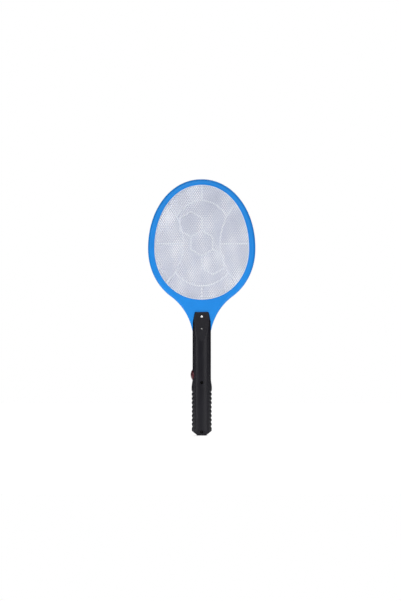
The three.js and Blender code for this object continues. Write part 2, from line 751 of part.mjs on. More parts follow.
// ---------------------------------------------------------------- circuit board
function board() {
  const plate = block(
    [-BOARD.halfWidth, BOARD.y, BOARD.low],
    [BOARD.halfWidth, BOARD.y + BOARD.thickness, BOARD.high],
  );
  return cut(plate, ...BOARD_SCREWS.map(({ x, z }) => rod(1.2, ALONG_Y, [x, 0, z], 10, 12)));
}
place(electronics, "circuit_board", board(), BOARD_BROWN);

const onBoard = BOARD.y - GAP; // the face that components stand on

function transformer() {
  const at = { x: 3.4, z: 119.5 };
  const outer = block([at.x - 6.8, -5.6, at.z - 6.5], [at.x + 6.8, 0.4, at.z + 6.5]);
  const windows = [-1, 1].map((side) => {
    const xs = [at.x + side * 1.9, at.x + side * 4.9].sort((a, b) => a - b);
    return block([xs[0], -10, at.z - 4.2], [xs[1], 10, at.z + 4.2]);
  });
  const winding = block([at.x - 4.6, -7.6, at.z - 3.9], [at.x + 4.6, onBoard, at.z + 3.9]);
  const leg = block([at.x - 2.2, -5.9, at.z - 5], [at.x + 2.2, 0.7, at.z + 5]);
  return { core: cut(outer, ...windows), coil: cut(winding, leg) };
}
const { core, coil } = transformer();
place(electronics, "transformer_core", core, FERRITE);
place(electronics, "transformer_coil", coil, COPPER);

place(
  electronics,
  "storage_capacitor",
  block([-8.6, onBoard - 7.2, 143], [8.6, onBoard, 155]),
  CAPACITOR_BROWN,
);
[
  [-6.8, 135],
  [-6.8, 121.6],
].forEach(([x, z], i) => {
  const disc = rod(3.4, ALONG_X, [x - 1.3, onBoard - 3.6, z], 2.6, 14);
  place(electronics, `doubler_capacitor_${i + 1}`, disc, CERAMIC_BLUE);
});

// A small round component with a wire at each end, lying along Z.
function axialPart(x, z, radius, length) {
  const WIRE = 0.3;
  const TAIL = 2;
  const profile = [
    [0, 0],
    [WIRE, 0],
    [WIRE, TAIL],
    [radius, TAIL],
    [radius, TAIL + length],
    [WIRE, TAIL + length],
    [WIRE, 2 * TAIL + length],
    [0, 2 * TAIL + length],
  ];
  return turned(profile, ALONG_Z, [x, onBoard - radius, z], 10);
}
[-2.6, 1.6, 5.8].forEach((x, i) => {
  place(electronics, `rectifier_diode_${i + 1}`, axialPart(x, 130.5, 1.35, 5.2), EPOXY_BLACK);
});
[
  ["base_resistor", -1.6, 101.4],
  ["led_resistor", 1.8, 101.4],
  ["bleed_resistor", 9.2, 130.5],
].forEach(([name, x, z]) => {
  place(electronics, name, axialPart(x, z, 1.1, 4), RESISTOR_TAN);
});

function transistor() {
  const body = new THREE.Shape();
  const FLAT = 1.6;
  const RADIUS = 2.2;
  const half = Math.acos(FLAT / RADIUS);
  for (let i = 0; i <= 8; i++) {
    const angle = half + (i / 8) * 2 * (Math.PI - half);
    const spot = [RADIUS * Math.cos(angle), RADIUS * Math.sin(angle)];
    if (i === 0) body.moveTo(...spot);
    else body.lineTo(...spot);
  }
  body.closePath();
  return slab(body, onBoard - 5, onBoard).translate([-6.8, 0, 115.5]);
}
place(electronics, "oscillator_transistor", transistor(), EPOXY_BLACK);

function indicatorLed() {
  const TIP_Y = -12;
  const profile = [
    [0, 0],
    [0.8, 0.12],
    [1.3, 0.6],
    [1.5, 1.3],
    [1.5, 3.6],
    [1.8, 3.6],
    [1.8, 4.4],
    [0, 4.4],
  ];
  const lens = turned(profile, ALONG_Y, [0, TIP_Y, LED_Z], 16);
  const LEG = 0.25;
  const legs = [-1, 1].map((side) => {
    const x = side * 1.1;
    return join(
      block([x - LEG, -8, 157], [x + LEG, -7.5, LED_Z]),
      block([x - LEG, -8, 156.6], [x + LEG, onBoard, 157.1]),
    );
  });
  return join(lens, ...legs);
}
place(electronics, "indicator_led", indicatorLed(), LENS_RED);

// ---------------------------------------------------------------- leads
const LEAD_RADIUS = 0.7;
const LEAD_STEPS = 10;
function lead(name, route, material) {
  place(electronics, name, wire(route, LEAD_RADIUS, LEAD_STEPS, 6), material);
}
lead(
  "live_lead",
  [
    [6, 2.2, 158.9],
    [6.4, 0.6, 164],
    [6.5, 0, 172],
    [6.5, 0, 200],
    [6.5, 0, 225],
    [6.5, 0, 237.6],
  ],
  LEAD_RED,
);
lead(
  "guard_lead",
  [
    [-6, 2.2, 158.9],
    [-6.4, 0.6, 164],
    [-6.5, 0, 172],
    [-6.5, 0, 200],
    [-6.5, 0, 225],
    [-6.5, 0, 237.6],
  ],
  LEAD_BLACK,
);
lead(
  "positive_battery_lead",
  [
    [-2.4, 1.2, 69.6],
    [-2.2, 0.4, 76],
    [-6.6, 0.5, 84],
    [-7.2, 1, 92],
    [-6.4, 2, 97],
    [-6, 2.6, 100.1],
  ],
  LEAD_RED,
);
lead(
  "negative_battery_lead",
  [
    [2.4, 1.2, 69.6],
    [2.2, 0.4, 76],
    [6.6, 0.5, 84],
    [7.2, 1, 92],
    [6, 2, 97],
    [5.2, 2.6, 100.1],
  ],
  LEAD_BLACK,
);

racket.position.z = -GRIP_CENTRE_Z;
export default racket;
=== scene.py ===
"""Electric fly swatter shaped like a small racket: its finished surfaces, stage, light and camera.

Lengths are in millimetres, and heights are measured from the butt end, until make_piece() turns
them into metres in the part's own frame. X is across, -Y is the front and +Z runs up to the
head's tip.
"""

import json
import math

import bmesh
import bpy
import numpy as np
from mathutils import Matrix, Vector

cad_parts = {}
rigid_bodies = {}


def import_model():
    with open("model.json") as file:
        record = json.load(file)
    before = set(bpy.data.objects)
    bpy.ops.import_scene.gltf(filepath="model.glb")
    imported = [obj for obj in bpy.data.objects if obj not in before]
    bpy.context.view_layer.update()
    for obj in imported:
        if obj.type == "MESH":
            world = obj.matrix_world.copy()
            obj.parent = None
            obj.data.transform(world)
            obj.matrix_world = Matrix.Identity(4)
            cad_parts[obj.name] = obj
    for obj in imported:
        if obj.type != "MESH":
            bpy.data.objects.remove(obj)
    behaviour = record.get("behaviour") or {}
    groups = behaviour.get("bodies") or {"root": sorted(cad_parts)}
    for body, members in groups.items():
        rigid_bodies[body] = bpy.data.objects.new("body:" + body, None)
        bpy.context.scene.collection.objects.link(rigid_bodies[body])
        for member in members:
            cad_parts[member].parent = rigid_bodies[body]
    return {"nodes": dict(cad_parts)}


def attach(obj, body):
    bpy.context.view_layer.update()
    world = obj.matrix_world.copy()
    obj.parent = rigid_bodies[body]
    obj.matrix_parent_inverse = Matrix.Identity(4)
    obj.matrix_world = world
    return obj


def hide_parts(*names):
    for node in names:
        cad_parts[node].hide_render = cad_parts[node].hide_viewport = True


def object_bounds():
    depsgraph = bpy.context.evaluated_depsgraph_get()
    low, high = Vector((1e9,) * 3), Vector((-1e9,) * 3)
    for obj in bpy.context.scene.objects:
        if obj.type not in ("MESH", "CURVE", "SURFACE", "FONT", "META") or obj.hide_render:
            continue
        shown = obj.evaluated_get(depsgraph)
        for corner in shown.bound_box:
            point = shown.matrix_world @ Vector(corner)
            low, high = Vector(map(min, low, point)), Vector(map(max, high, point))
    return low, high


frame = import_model()
cad_low, cad_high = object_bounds()

# -------------------- driving dimensions
GRIP_CENTRE = 50.0  # the frame's origin above the butt end
FRONT = -1
REAR = 1
SIDES = ((FRONT, "front"), (REAR, "rear"))

HEAD_Z = 335.5  # height of the head's widest line
HEAD_HALF_WIDTH = 96.45
HEAD_RISE = 124.5
HEAD_DROP = 103.9
HEAD_POWER = 2.06  # 2 would make the halves true ellipses; a little more makes them fuller
HEAD_HALF_THICKNESS = 7.0
HEAD_EDGE_RADIUS = 5.8
EDGE_EASE = (186, 250)  # heights between which the edge grows to its full radius
EDGE_START = 0.12  # the share of it that the neck begins with
MOUTH_EDGE_RADIUS = 1.0
FLARE_SINE = 0.823  # where the lower half passes into the neck's hollow curve
FLARE_RADIUS = 99.9
TANG_HALF_WIDTH = 11.5
TANG_END = 163.0
SHOULDER_Z = 187.0  # where the neck meets the handle's walls
HALF_SEAM = 0.15
SHUT = 0.003  # how far each half stays from the middle plane behind its seam

MOUTH_HALF_WIDTH = 85.0  # the visible opening
MOUTH_RISE = 114.2
MOUTH_DROP = 91.8
MOUTH_POWER = 2.07
POCKET_GROWTH = 5.0
POCKET_DEPTH = 4.2
STACK_GROWTH = 4.4
WHITE_LIP = 1.3

NET_Y = 3.6  # middle of an outer net
NET_SHEET = 0.3  # sheet thickness
NET_TILT = 0.26  # how far the strands lean out of the sheet
STRAND = 0.78
CELL_WIDTH = 3.9
CELL_HEIGHT = 6.0

GRILLE_Y = 1.8
GRILLE_THICKNESS = 2.3
LIP_Y = 3.3
LIP_HALF_THICKNESS = 0.85
RIB = 3.0
RIB_CENTRE_Z = 345.0
ARCH_HALF_HEIGHT = 76.5
UPPER_ARCH = (57.5, 51.5)  # half width, half angle in degrees
LOWER_ARCH = (66.0, 46.7)
BOW_CENTRE_X = 131.0
BOW_RADIUS = 98.0
BOW_HALF_ANGLE = 62.0
HONEYCOMB_RADIUS = 22.6

HANDLE_TOP = 221.5
RAMP_Z = 169.0  # where the sloping flat runs out into the crown
RAMP_SLOPE = 0.08
HALF_WIDTH = 16.5
GRIP_HALF_WIDTH = 18.1
CROWN_Y = 13.5
EDGE_X = 13.0  # the long edge between crown and shoulder
EDGE_Y = 11.0
SHOULDER_SLOPE = 8.4 / 6.1
WALL = 2.0
END_RADIUS = 0.6  # rounding of the butt's and the tongue's ends
LIP = (1.15, -1.0)  # the front half's lip: in from the wall's face, and past the seam
REBATE = (1.0, 1.1)  # the rear half's rebate for it
CEILING_X = (9.0, 6.0, 3.0)  # points across the cavity's ceiling
CAVITY_HALF_WIDTH = 14.6
CAVITY_FLOOR = 11.0
NECK_FACE = 7.3  # edge of the tongues' inner face
TONGUE_SHUT = 0.25  # how much nearer the neck that face comes behind its edge
TONGUE_EDGE_Y = 8.05  # where a tongue's slope meets its thin side
GROOVE_TOP = 77.5
GROOVE_PITCH = 7.7
GROOVE_COUNT = 9
GROOVE_DEPTH = 1.45
TRIM_LINE_X = 11.3  # fine line along each side of the crown
SILHOUETTE = (  # heights and half widths: stepped butt, grip, waist, tapered tongue
    (0, 8.8), (1.7, 9.2), (2.0, 9.5), (7.2, 16.8), (7.9, 17.7), (8.6, GRIP_HALF_WIDTH),
    (80, GRIP_HALF_WIDTH), (84, 18.3), (88, 18.2), (92, 17.6), (98, 16.7), (102, HALF_WIDTH),
    (SHOULDER_Z, HALF_WIDTH), (190, 16.3), (204, 16.0), (216, 13.8), (219.8, 12.8), (HANDLE_TOP, 11.8),
)

NECK_SCREW = (213.3, -9.75, 8.8)  # height, head's face, tip
MIDDLE_SCREW = (95.1, -6.6, 9.0)
BUTT_SCREW = (6.6, -7.2, 8.0)
CASE_SCREW = (2.6, 1.35, 1.45)  # head radius, head height, shank radius
BOARD_SCREW = (1.8, 1.2, 0.85)
SCREW_WELL = 2.95
LAMP_Z = 191.6
LAMP_HOLE = 1.8

BUTTON_Z = 108.7
BUTTON_RADIUS = 9.8
BUTTON_RISE = 3.4
BUTTON_HOLE = 10.1

DOOR_LOW = 13.3
DOOR_HIGH = 70.7
DOOR_HALF_WIDTH = 14.2
DOOR_GAP = 0.3
TAB_HALF_WIDTH = 4.0
TAB_REACH = 3.0
RIDGE_COUNT = 5  # thumb ridges
RIDGE_PITCH = 2.4
RIDGE_DROP = 5.5  # the highest ridge below the door's upper end

CELL_LENGTH = 50.5
CELL_X = 7.15
LEFT_CELL_Z = 17.0  # its base, just above the spring
BAY_LOW = 12.1  # where the lower spring and the right cell's nub begin, just above the bridge
UPPER_PLATE_Z = 68.3
PLATE_HALF_DEPTH = 5.5
PLATE_THICKNESS = 0.5


# -------------------- mesh helpers
def in_frame(points):
    """Millimetres from the butt end to metres in the part's frame."""
    moved = np.array(points, float).reshape(-1, 3)
    moved[:, 2] -= GRIP_CENTRE
    return moved / 1000


def grid_faces(rows, columns, wrap_rows=False, wrap_columns=True):
    """Quads between neighbours of a grid of points, counted row by row."""
    row = np.arange(rows if wrap_rows else rows - 1)
    column = np.arange(columns if wrap_columns else columns - 1)
    r, c = np.meshgrid(row, column, indexing="ij")
    r_next, c_next = (r + 1) % rows, (c + 1) % columns
    corners = [r * columns + c, r * columns + c_next, r_next * columns + c_next, r_next * columns + c]
    return np.stack(corners, -1).reshape(-1, 4)


def capped_faces(rows, columns):
    """The same quads with one flat face over the first row and one over the last."""
    first = np.arange(columns)[::-1]
    return [*grid_faces(rows, columns), first, first[::-1] + (rows - 1) * columns]


def joined(*parts):
    """Several (points, faces) parts as one."""
    points, faces, start = [], [], 0
    for part_points, part_faces in parts:
        part_points = np.asarray(part_points, float).reshape(-1, 3)
        points.append(part_points)
        faces += [[int(v) + start for v in face] for face in part_faces]
        start += len(part_points)
    return np.vstack(points), faces


def mesh_from(name, points, faces, merge=1e-6):
    """A mesh with doubled points merged and faces turned outwards."""
    mesh = bpy.data.meshes.new(name)
    mesh.from_pydata(points.tolist(), [], [list(map(int, f)) for f in faces])
    work = bmesh.new()
    work.from_mesh(mesh)
    if merge:
        bmesh.ops.remove_doubles(work, verts=work.verts, dist=merge)
    bmesh.ops.recalc_face_normals(work, faces=work.faces)
    work.to_mesh(mesh)
    work.free()
    return mesh


def placed(name, data):
    """A new object in the scene, at its origin."""
    made = bpy.data.objects.new(name, data)
    bpy.context.scene.collection.objects.link(made)
    return made


def make_piece(name, part, material, replaced=(), sharp=32, body="racket",
               added=(), cutters=(), merge=1e-6):
    """A finished piece from one (points, faces) part in millimetres, joined to and cut by others:
    smooth shading with its sharp edges kept, its body and the nodes it replaces."""
    points, faces = part
    piece = placed(name, mesh_from(name, in_frame(points), faces, merge))
    for parts, operation in ((added, "UNION"), (cutters, "DIFFERENCE")):
        if parts:
            combine(piece, parts, operation)
    mesh = piece.data
    mesh.materials.clear()
    mesh.materials.append(material)
    mesh.polygons.foreach_set("use_smooth", np.ones(len(mesh.polygons), bool))
    mesh.set_sharp_from_angle(angle=math.radians(sharp))
    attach(piece, body)
    if replaced:
        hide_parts(*replaced)


def combine(piece, parts, operation):
    """Cuts closed (points, faces) parts out of a piece, or adds them to it, for good."""
    tools = bpy.data.collections.new("tools")
    bpy.context.scene.collection.children.link(tools)
    for points, faces in parts:
        tools.objects.link(bpy.data.objects.new("tool", mesh_from("tool", in_frame(points), faces)))
    change = piece.modifiers.new("change", "BOOLEAN")
    change.operation = operation
    change.solver = "MANIFOLD"
    change.operand_type = "COLLECTION"
    change.collection = tools
    bpy.context.view_layer.update()
    graph = bpy.context.evaluated_depsgraph_get()
    result = bpy.data.meshes.new_from_object(piece.evaluated_get(graph))
    piece.modifiers.clear()
    piece.data = result
    for tool in list(tools.objects):
        bpy.data.objects.remove(tool)
    bpy.data.collections.remove(tools)


def unit(vectors):
    """Vectors of length one."""
    return vectors / np.maximum(np.linalg.norm(vectors, axis=-1, keepdims=True), 1e-9)


def smooth_step(value, low, high):
    """Rises smoothly from 0 at low to 1 at high."""
    t = np.clip((np.asarray(value, float) - low) / (high - low), 0, 1)
    return t * t * (3 - 2 * t)


def swell(value, centre, width):
    """A bell curve, 1 at the centre: e to minus the square of the distance over the width."""
    return np.exp(-(((value - centre) / width) ** 2))


def at_depth(line, depth):
    """Front-view points (x, z) set at one depth, or each at its own."""
    return np.insert(line, 1, depth, axis=1)


def rounded_rectangle(width, height, radius):
    """A rectangle's outline with quarter circles at its corners, anticlockwise."""
    angle = np.linspace(0, math.pi / 2, 4)
    quarter = radius * np.stack([np.cos(angle), np.sin(angle)], 1)
    outline = []
    for c, s in ((1, 0), (0, 1), (-1, 0), (0, -1)):
        centre = ((c - s) * (width / 2 - radius), (c + s) * (height / 2 - radius))
        outline.append(quarter @ np.array([[c, s], [-s, c]]) + centre)
    return np.vstack(outline)


def rounded_polygon(corners, radii):
    """A closed outline whose corners are quadratic curves between the two cut points."""
    corners = np.asarray(corners, float)
    radii = np.broadcast_to(radii, len(corners))[:, None]
    before = unit(np.roll(corners, 1, 0) - corners)
    after = unit(np.roll(corners, -1, 0) - corners)
    t = np.linspace(0, 1, 5)[None, :, None]
    bend = (1 - t) ** 2 * (before * radii)[:, None] + t**2 * (after * radii)[:, None]
    return (corners[:, None] + bend).reshape(-1, 2)


def turned(profile, axis, at, sides):
    """A profile of (radius, distance) spun round an axis: X, Y or Z by name, from point at."""
    profile = np.asarray(profile, float)
    angle = np.arange(sides) / sides * 2 * math.pi
    radius, along = profile[:, :1], np.repeat(profile[:, 1:], sides, 1)
    u, v = radius * np.cos(angle), radius * np.sin(angle)
    order = {"X": (along, u, v), "Y": (v, along, u), "Z": (u, v, along)}[axis]
    points = np.stack(order, -1).reshape(-1, 3) + np.asarray(at, float)
    return points, grid_faces(len(profile), sides)


def tube(path, radius, sides):
    """A round section carried along a smooth path, with flat ends."""
    path = np.asarray(path, float)
    along = unit(np.gradient(path, axis=0))
    across = unit(np.cross(along, [0.13, 0.21, 0.97]))
    up = np.cross(across, along)
    angle = np.arange(sides) / sides * 2 * math.pi
    ring = np.cos(angle)[None, :, None] * across[:, None] + np.sin(angle)[None, :, None] * up[:, None]
    points = path[:, None] + radius * ring
    return points.reshape(-1, 3), capped_faces(len(path), sides)


def flat_bar(line, y, section, closed=False):
    """A section carried along a line in the front view: each of its points is the line's point
    moved by u along the line's own normal and by v along Y, with mitred corners."""
    line = np.asarray(line, float)
    if closed:
        before, after = np.roll(line, 1, 0), np.roll(line, -1, 0)
    else:
        before = np.vstack([2 * line[:1] - line[1:2], line[:-1]])
        after = np.vstack([line[1:], 2 * line[-1:] - line[-2:-1]])
    turn = np.array([[0, 1], [-1, 0]])
    normal_in, normal_out = unit(line - before) @ turn, unit(after - line) @ turn
    normal = unit(normal_in + normal_out)
    mitre = 1 / np.clip((normal * normal_in).sum(1, keepdims=True), 0.5, 1)
    flat = line[:, None] + (normal * mitre)[:, None] * section[None, :, :1]
    depth = np.broadcast_to(y + section[None, :, 1:], flat[..., :1].shape)
    points = np.concatenate([flat[..., :1], depth, flat[..., 1:]], -1)
    size = (len(line), len(section))
    faces = grid_faces(*size, wrap_rows=True) if closed else capped_faces(*size)
    return points.reshape(-1, 3), faces


def soft_box(low, high, radius):
    """A box with rounded edges: each point of a cube's faces is pulled back to the inner box
    and pushed out again by the radius."""
    low, high = np.asarray(low, float), np.asarray(high, float)
    edge = np.tan(np.linspace(-1, 1, 8) * math.pi / 4)
    u, v = np.meshgrid(edge, edge, indexing="ij")
    one = np.ones_like(u)
    parts = []
    for axis in range(3):
        for side in (-1, 1):
            face = np.stack(np.roll([side * one, u, v], axis, 0), -1).reshape(-1, 3)
            parts.append((face, grid_faces(len(edge), len(edge), wrap_columns=False)))
    points, faces = joined(*parts)
    centre, half = (low + high) / 2, (high - low) / 2
    inner = np.clip(points * (half + radius), -(half - radius), half - radius)
    away = unit(points * half - np.clip(points * half, -(half - radius), half - radius) + points * 1e-6)
    return centre + inner + radius * away, faces


# -------------------- finishes
def finish_nodes(name):
    """A new material's node tree, its surface shader and the object coordinates."""
    material = bpy.data.materials.new(name)
    material.use_nodes = True
    tree = material.node_tree
    shader = tree.nodes["Principled BSDF"]
    place = tree.nodes.new("ShaderNodeTexCoord").outputs["Object"]
    return material, tree, shader, place


def set_inputs(tree, node, inputs):
    """Sets a node's inputs to values, or links them to other nodes' outputs."""
    for name, value in inputs.items():
        if isinstance(value, bpy.types.NodeSocket):
            tree.links.new(value, node.inputs[name])
        else:
            node.inputs[name].default_value = value


def add_node(tree, kind, inputs, output=0, data_type=None):
    """A new node with its inputs set, given as one of its outputs."""
    node = tree.nodes.new("ShaderNode" + kind)
    if data_type:
        node.data_type = data_type
    set_inputs(tree, node, inputs)
    return node.outputs[output]


def stretched(tree, place, scale):
    """Coordinates scaled by different amounts along X, Y and Z."""
    return add_node(tree, "Mapping", {"Scale": scale, "Vector": place})


def noise(tree, place, scale, detail):
    """Cloudy noise from 0 to 1, with scale features in a metre."""
    inputs = {"Scale": scale, "Detail": detail, "Roughness": 0.55, "Vector": place}
    return add_node(tree, "TexNoise", inputs)


def ranged(tree, value, low, high, from_low=0.3, from_high=0.7):
    """A value moved from one range to another."""
    inputs = {"From Min": from_low, "From Max": from_high, "To Min": low, "To Max": high, "Value": value}
    return add_node(tree, "MapRange", inputs)


def two_tone(tree, value, first, second):
    """A colour between two, by a value from 0 to 1."""
    return add_node(tree, "Mix", {"A": first, "B": second, "Factor": value}, "Result", "RGBA")


def bumped(tree, height, distance, strength=1.0, under=None):
    """Surface relief of a real height in metres, laid over another relief where one is given."""
    inputs = {"Distance": distance, "Strength": strength, "Height": height}
    if under is not None:
        inputs["Normal"] = under
    return add_node(tree, "Bump", inputs)


def moulded_plastic(name, light, dark, roughness, grain=0.00001, grain_scale=2600, specular=0.5):
    """Injection-moulded plastic: faint clouding in the colour, a fine spark-eroded grain, slow
    waves where the wall shrank, and hair-fine handling marks in the gloss."""
    material, tree, shader, place = finish_nodes(name)
    clouds = ranged(tree, noise(tree, place, 38, 4), 0, 1)
    marks = noise(tree, stretched(tree, place, (700, 700, 260)), 1, 2)
    waves = bumped(tree, noise(tree, place, 55, 1), 0.00025, 0.3)
    set_inputs(tree, shader, {
        "Base Color": two_tone(tree, clouds, (*dark, 1), (*light, 1)),
        "Roughness": ranged(tree, marks, roughness - 0.025, roughness + 0.035),
        "Normal": bumped(tree, noise(tree, place, grain_scale, 2), grain, 1.0, waves),
        "Specular IOR Level": specular,
    })
    return material


def bare_metal(name, light, dark, roughness, scratches=(1400, 1400, 140), relief=0.000006, metallic=1.0):
    """Bare metal with fine drawing lines, cloudy tarnish and an uneven gloss."""
    material, tree, shader, place = finish_nodes(name)
    tarnish = ranged(tree, noise(tree, place, 160, 4), 0, 1)
    lines = noise(tree, stretched(tree, place, scratches), 1, 3)
    set_inputs(tree, shader, {
        "Base Color": two_tone(tree, tarnish, (*dark, 1), (*light, 1)),
        "Roughness": ranged(tree, lines, roughness - 0.08, roughness + 0.1),
        "Normal": bumped(tree, lines, relief, 0.6),
        "Metallic": metallic,
    })
    return material


def clear_lens(name):
    """Cast epoxy, nearly clear, with slight haze."""
    material, tree, shader, place = finish_nodes(name)
    set_inputs(tree, shader, {
        "Roughness": ranged(tree, noise(tree, place, 900, 2), 0.12, 0.24),
        "Base Color": (0.62, 0.6, 0.6, 1),
        "Transmission Weight": 0.35,
        "IOR": 1.5,
    })
    return material


def cell_jacket(name):
    """A printed cell jacket: pale satin film with a darker band round one end."""
    material, tree, shader, place = finish_nodes(name)
    height = add_node(tree, "SeparateXYZ", {"Vector": place}, "Z")
    band = ranged(tree, height, 0, 1, -0.0155, -0.0150)
    film = noise(tree, place, 90, 3)
    pale = two_tone(tree, ranged(tree, film, 0, 1), (0.36, 0.42, 0.38, 1), (0.44, 0.5, 0.46, 1))
    set_inputs(tree, shader, {
        "Base Color": two_tone(tree, band, (0.02, 0.13, 0.07, 1), pale),
        "Roughness": ranged(tree, film, 0.28, 0.4),
        "Normal": bumped(tree, noise(tree, place, 1800, 2), 0.000008),
        "Metallic": 0.35,
    })
    return material


BLUE = moulded_plastic("blue_abs", (0.01, 0.27, 0.82), (0.008, 0.24, 0.75), 0.36, specular=0.22)
BLACK = moulded_plastic("black_abs", (0.0058, 0.0053, 0.0098), (0.0038, 0.0035, 0.0068), 0.3,
                        0.000014, specular=0.22)
WHITE = moulded_plastic("white_pp", (0.95, 0.97, 1.0), (0.9, 0.93, 0.98), 0.5)
RED = moulded_plastic("red_abs", (0.07, 0.004, 0.01), (0.05, 0.003, 0.007), 0.3, specular=0.3)
ACETAL = moulded_plastic("white_acetal", (0.8, 0.8, 0.77), (0.72, 0.72, 0.69), 0.42, 0.000008)
EPOXY = moulded_plastic("moulded_epoxy", (0.02, 0.02, 0.022), (0.013, 0.013, 0.014), 0.5, 0.00002)
LAMINATE = moulded_plastic("phenolic_laminate", (0.42, 0.22, 0.055), (0.34, 0.17, 0.04), 0.6, 0.00002, 900)
RESIN_BROWN = moulded_plastic("brown_resin", (0.2, 0.05, 0.025), (0.15, 0.035, 0.018), 0.3, 0.00003, 500)
RESIN_BLUE = moulded_plastic("blue_resin", (0.03, 0.16, 0.42), (0.022, 0.12, 0.34), 0.38, 0.00003, 500)
PAINT_TAN = moulded_plastic("tan_paint", (0.62, 0.46, 0.26), (0.54, 0.39, 0.21), 0.45, 0.00002, 700)
FERRITE = moulded_plastic("ferrite", (0.045, 0.045, 0.05), (0.03, 0.03, 0.032), 0.75, 0.00004, 1500)
SLEEVE_RED = moulded_plastic("red_sleeve", (0.42, 0.012, 0.012), (0.34, 0.01, 0.01), 0.42)
SLEEVE_BLACK = moulded_plastic("black_sleeve", (0.014, 0.014, 0.016), (0.009, 0.009, 0.01), 0.42)
NET_METAL = bare_metal("expanded_aluminium", (0.65, 0.68, 0.79), (0.6, 0.63, 0.74), 0.5,
                       (500, 500, 500), metallic=0.4)
SCREW_STEEL = bare_metal("plated_steel", (0.82, 0.82, 0.83), (0.66, 0.66, 0.67), 0.26)
# Painted shade: plated screw steel darkened to stand for the shadow down the deep screw wells.
PAINTED_SHADE_STEEL = bare_metal("steel_darkened_as_painted_shade", (0.05, 0.05, 0.052), (0.025, 0.025, 0.026), 0.36)
NICKEL = bare_metal("nickel_plate", (0.72, 0.71, 0.68), (0.58, 0.57, 0.54), 0.3, (1200, 160, 1200))
COPPER = bare_metal("enamelled_copper", (0.75, 0.34, 0.14), (0.6, 0.25, 0.1), 0.3, (200, 200, 5200),
                    0.00008)
LENS = clear_lens("lamp_epoxy")
JACKET = cell_jacket("cell_jacket_film")


# -------------------- head: outlines
def egg(angle, half_width, rise, drop, power):
    """Two half super-ellipses that share a width: |x / a| and |z / b|, each to the power, add up
    to one. The angle is the one a true ellipse would be drawn with."""
    c, s = np.cos(angle), np.sin(angle)
    reach = np.where(s > 0, rise, drop)
    x = half_width * np.sign(c) * np.abs(c) ** (2 / power)
    z = HEAD_Z + reach * np.sign(s) * np.abs(s) ** (2 / power)
    return np.stack([x, z], -1)


def mouth(angle, growth):
    """The egg-shaped opening, grown evenly."""
    grown = [size + growth for size in (MOUTH_HALF_WIDTH, MOUTH_RISE, MOUTH_DROP)]
    return egg(angle, *grown, MOUTH_POWER)


def mouth_share(points, growth):
    """How far points lie from the opening's middle, as a share of the grown opening's reach."""
    rise = np.where(points[:, 1] > HEAD_Z, MOUTH_RISE, MOUTH_DROP) + growth
    across = np.abs(points[:, 0] / (MOUTH_HALF_WIDTH + growth)) ** MOUTH_POWER
    up = np.abs((points[:, 1] - HEAD_Z) / rise) ** MOUTH_POWER
    return (across + up) ** (1 / MOUTH_POWER)


def even_spacing(line, count):
    """The same closed line with its points spread evenly along it."""
    closed = np.vstack([line, line[:1]])
    reach = np.concatenate([[0], np.cumsum(np.linalg.norm(np.diff(closed, axis=0), axis=1))])
    where = np.arange(count) / count * reach[-1]
    return np.stack([np.interp(where, reach, closed[:, i]) for i in range(2)], 1)


def head_outline(count):
    """The head's outside: an egg, a hollow arc each side that leaves the egg at a tangent, then
    the tang that goes down into the handle."""
    start = math.asin(FLARE_SINE)
    sizes = (HEAD_HALF_WIDTH, HEAD_RISE, HEAD_DROP, HEAD_POWER)
    upper = egg(np.linspace(math.pi / 2, -start, 220), *sizes)
    leave = upper[-1]
    slope = np.abs((leave - (0, HEAD_Z)) / (HEAD_HALF_WIDTH, HEAD_DROP)) ** (HEAD_POWER - 1)
    normal = unit(slope / (HEAD_HALF_WIDTH, -HEAD_DROP))
    centre = leave + FLARE_RADIUS * normal
    first = math.atan2(leave[1] - centre[1], leave[0] - centre[0])
    last = math.pi - math.asin((SHOULDER_Z + 1.6 - centre[1]) / FLARE_RADIUS)
    turn = np.linspace(first, last, 60)[1:]
    flare = centre + FLARE_RADIUS * np.stack([np.cos(turn), np.sin(turn)], 1)
    foot = rounded_polygon(
        [flare[-1], (flare[-1, 0] - 0.3, SHOULDER_Z + 0.3), (TANG_HALF_WIDTH, SHOULDER_Z + 0.3),
         (TANG_HALF_WIDTH, TANG_END), (0, TANG_END)],
        [0.01, 1.0, 0.6, 1.5, 0.01],
    )
    right = np.vstack([upper, flare, foot[5:20]])
    left = right[1:][::-1] * (-1, 1)
    return even_spacing(np.vstack([right, left]), count)


def outward(line):
    """In-plane normals of a closed line, away from its inside."""
    along = unit(np.roll(line, -1, 0) - np.roll(line, 1, 0))
    return np.stack([-along[:, 1], along[:, 0]], 1)


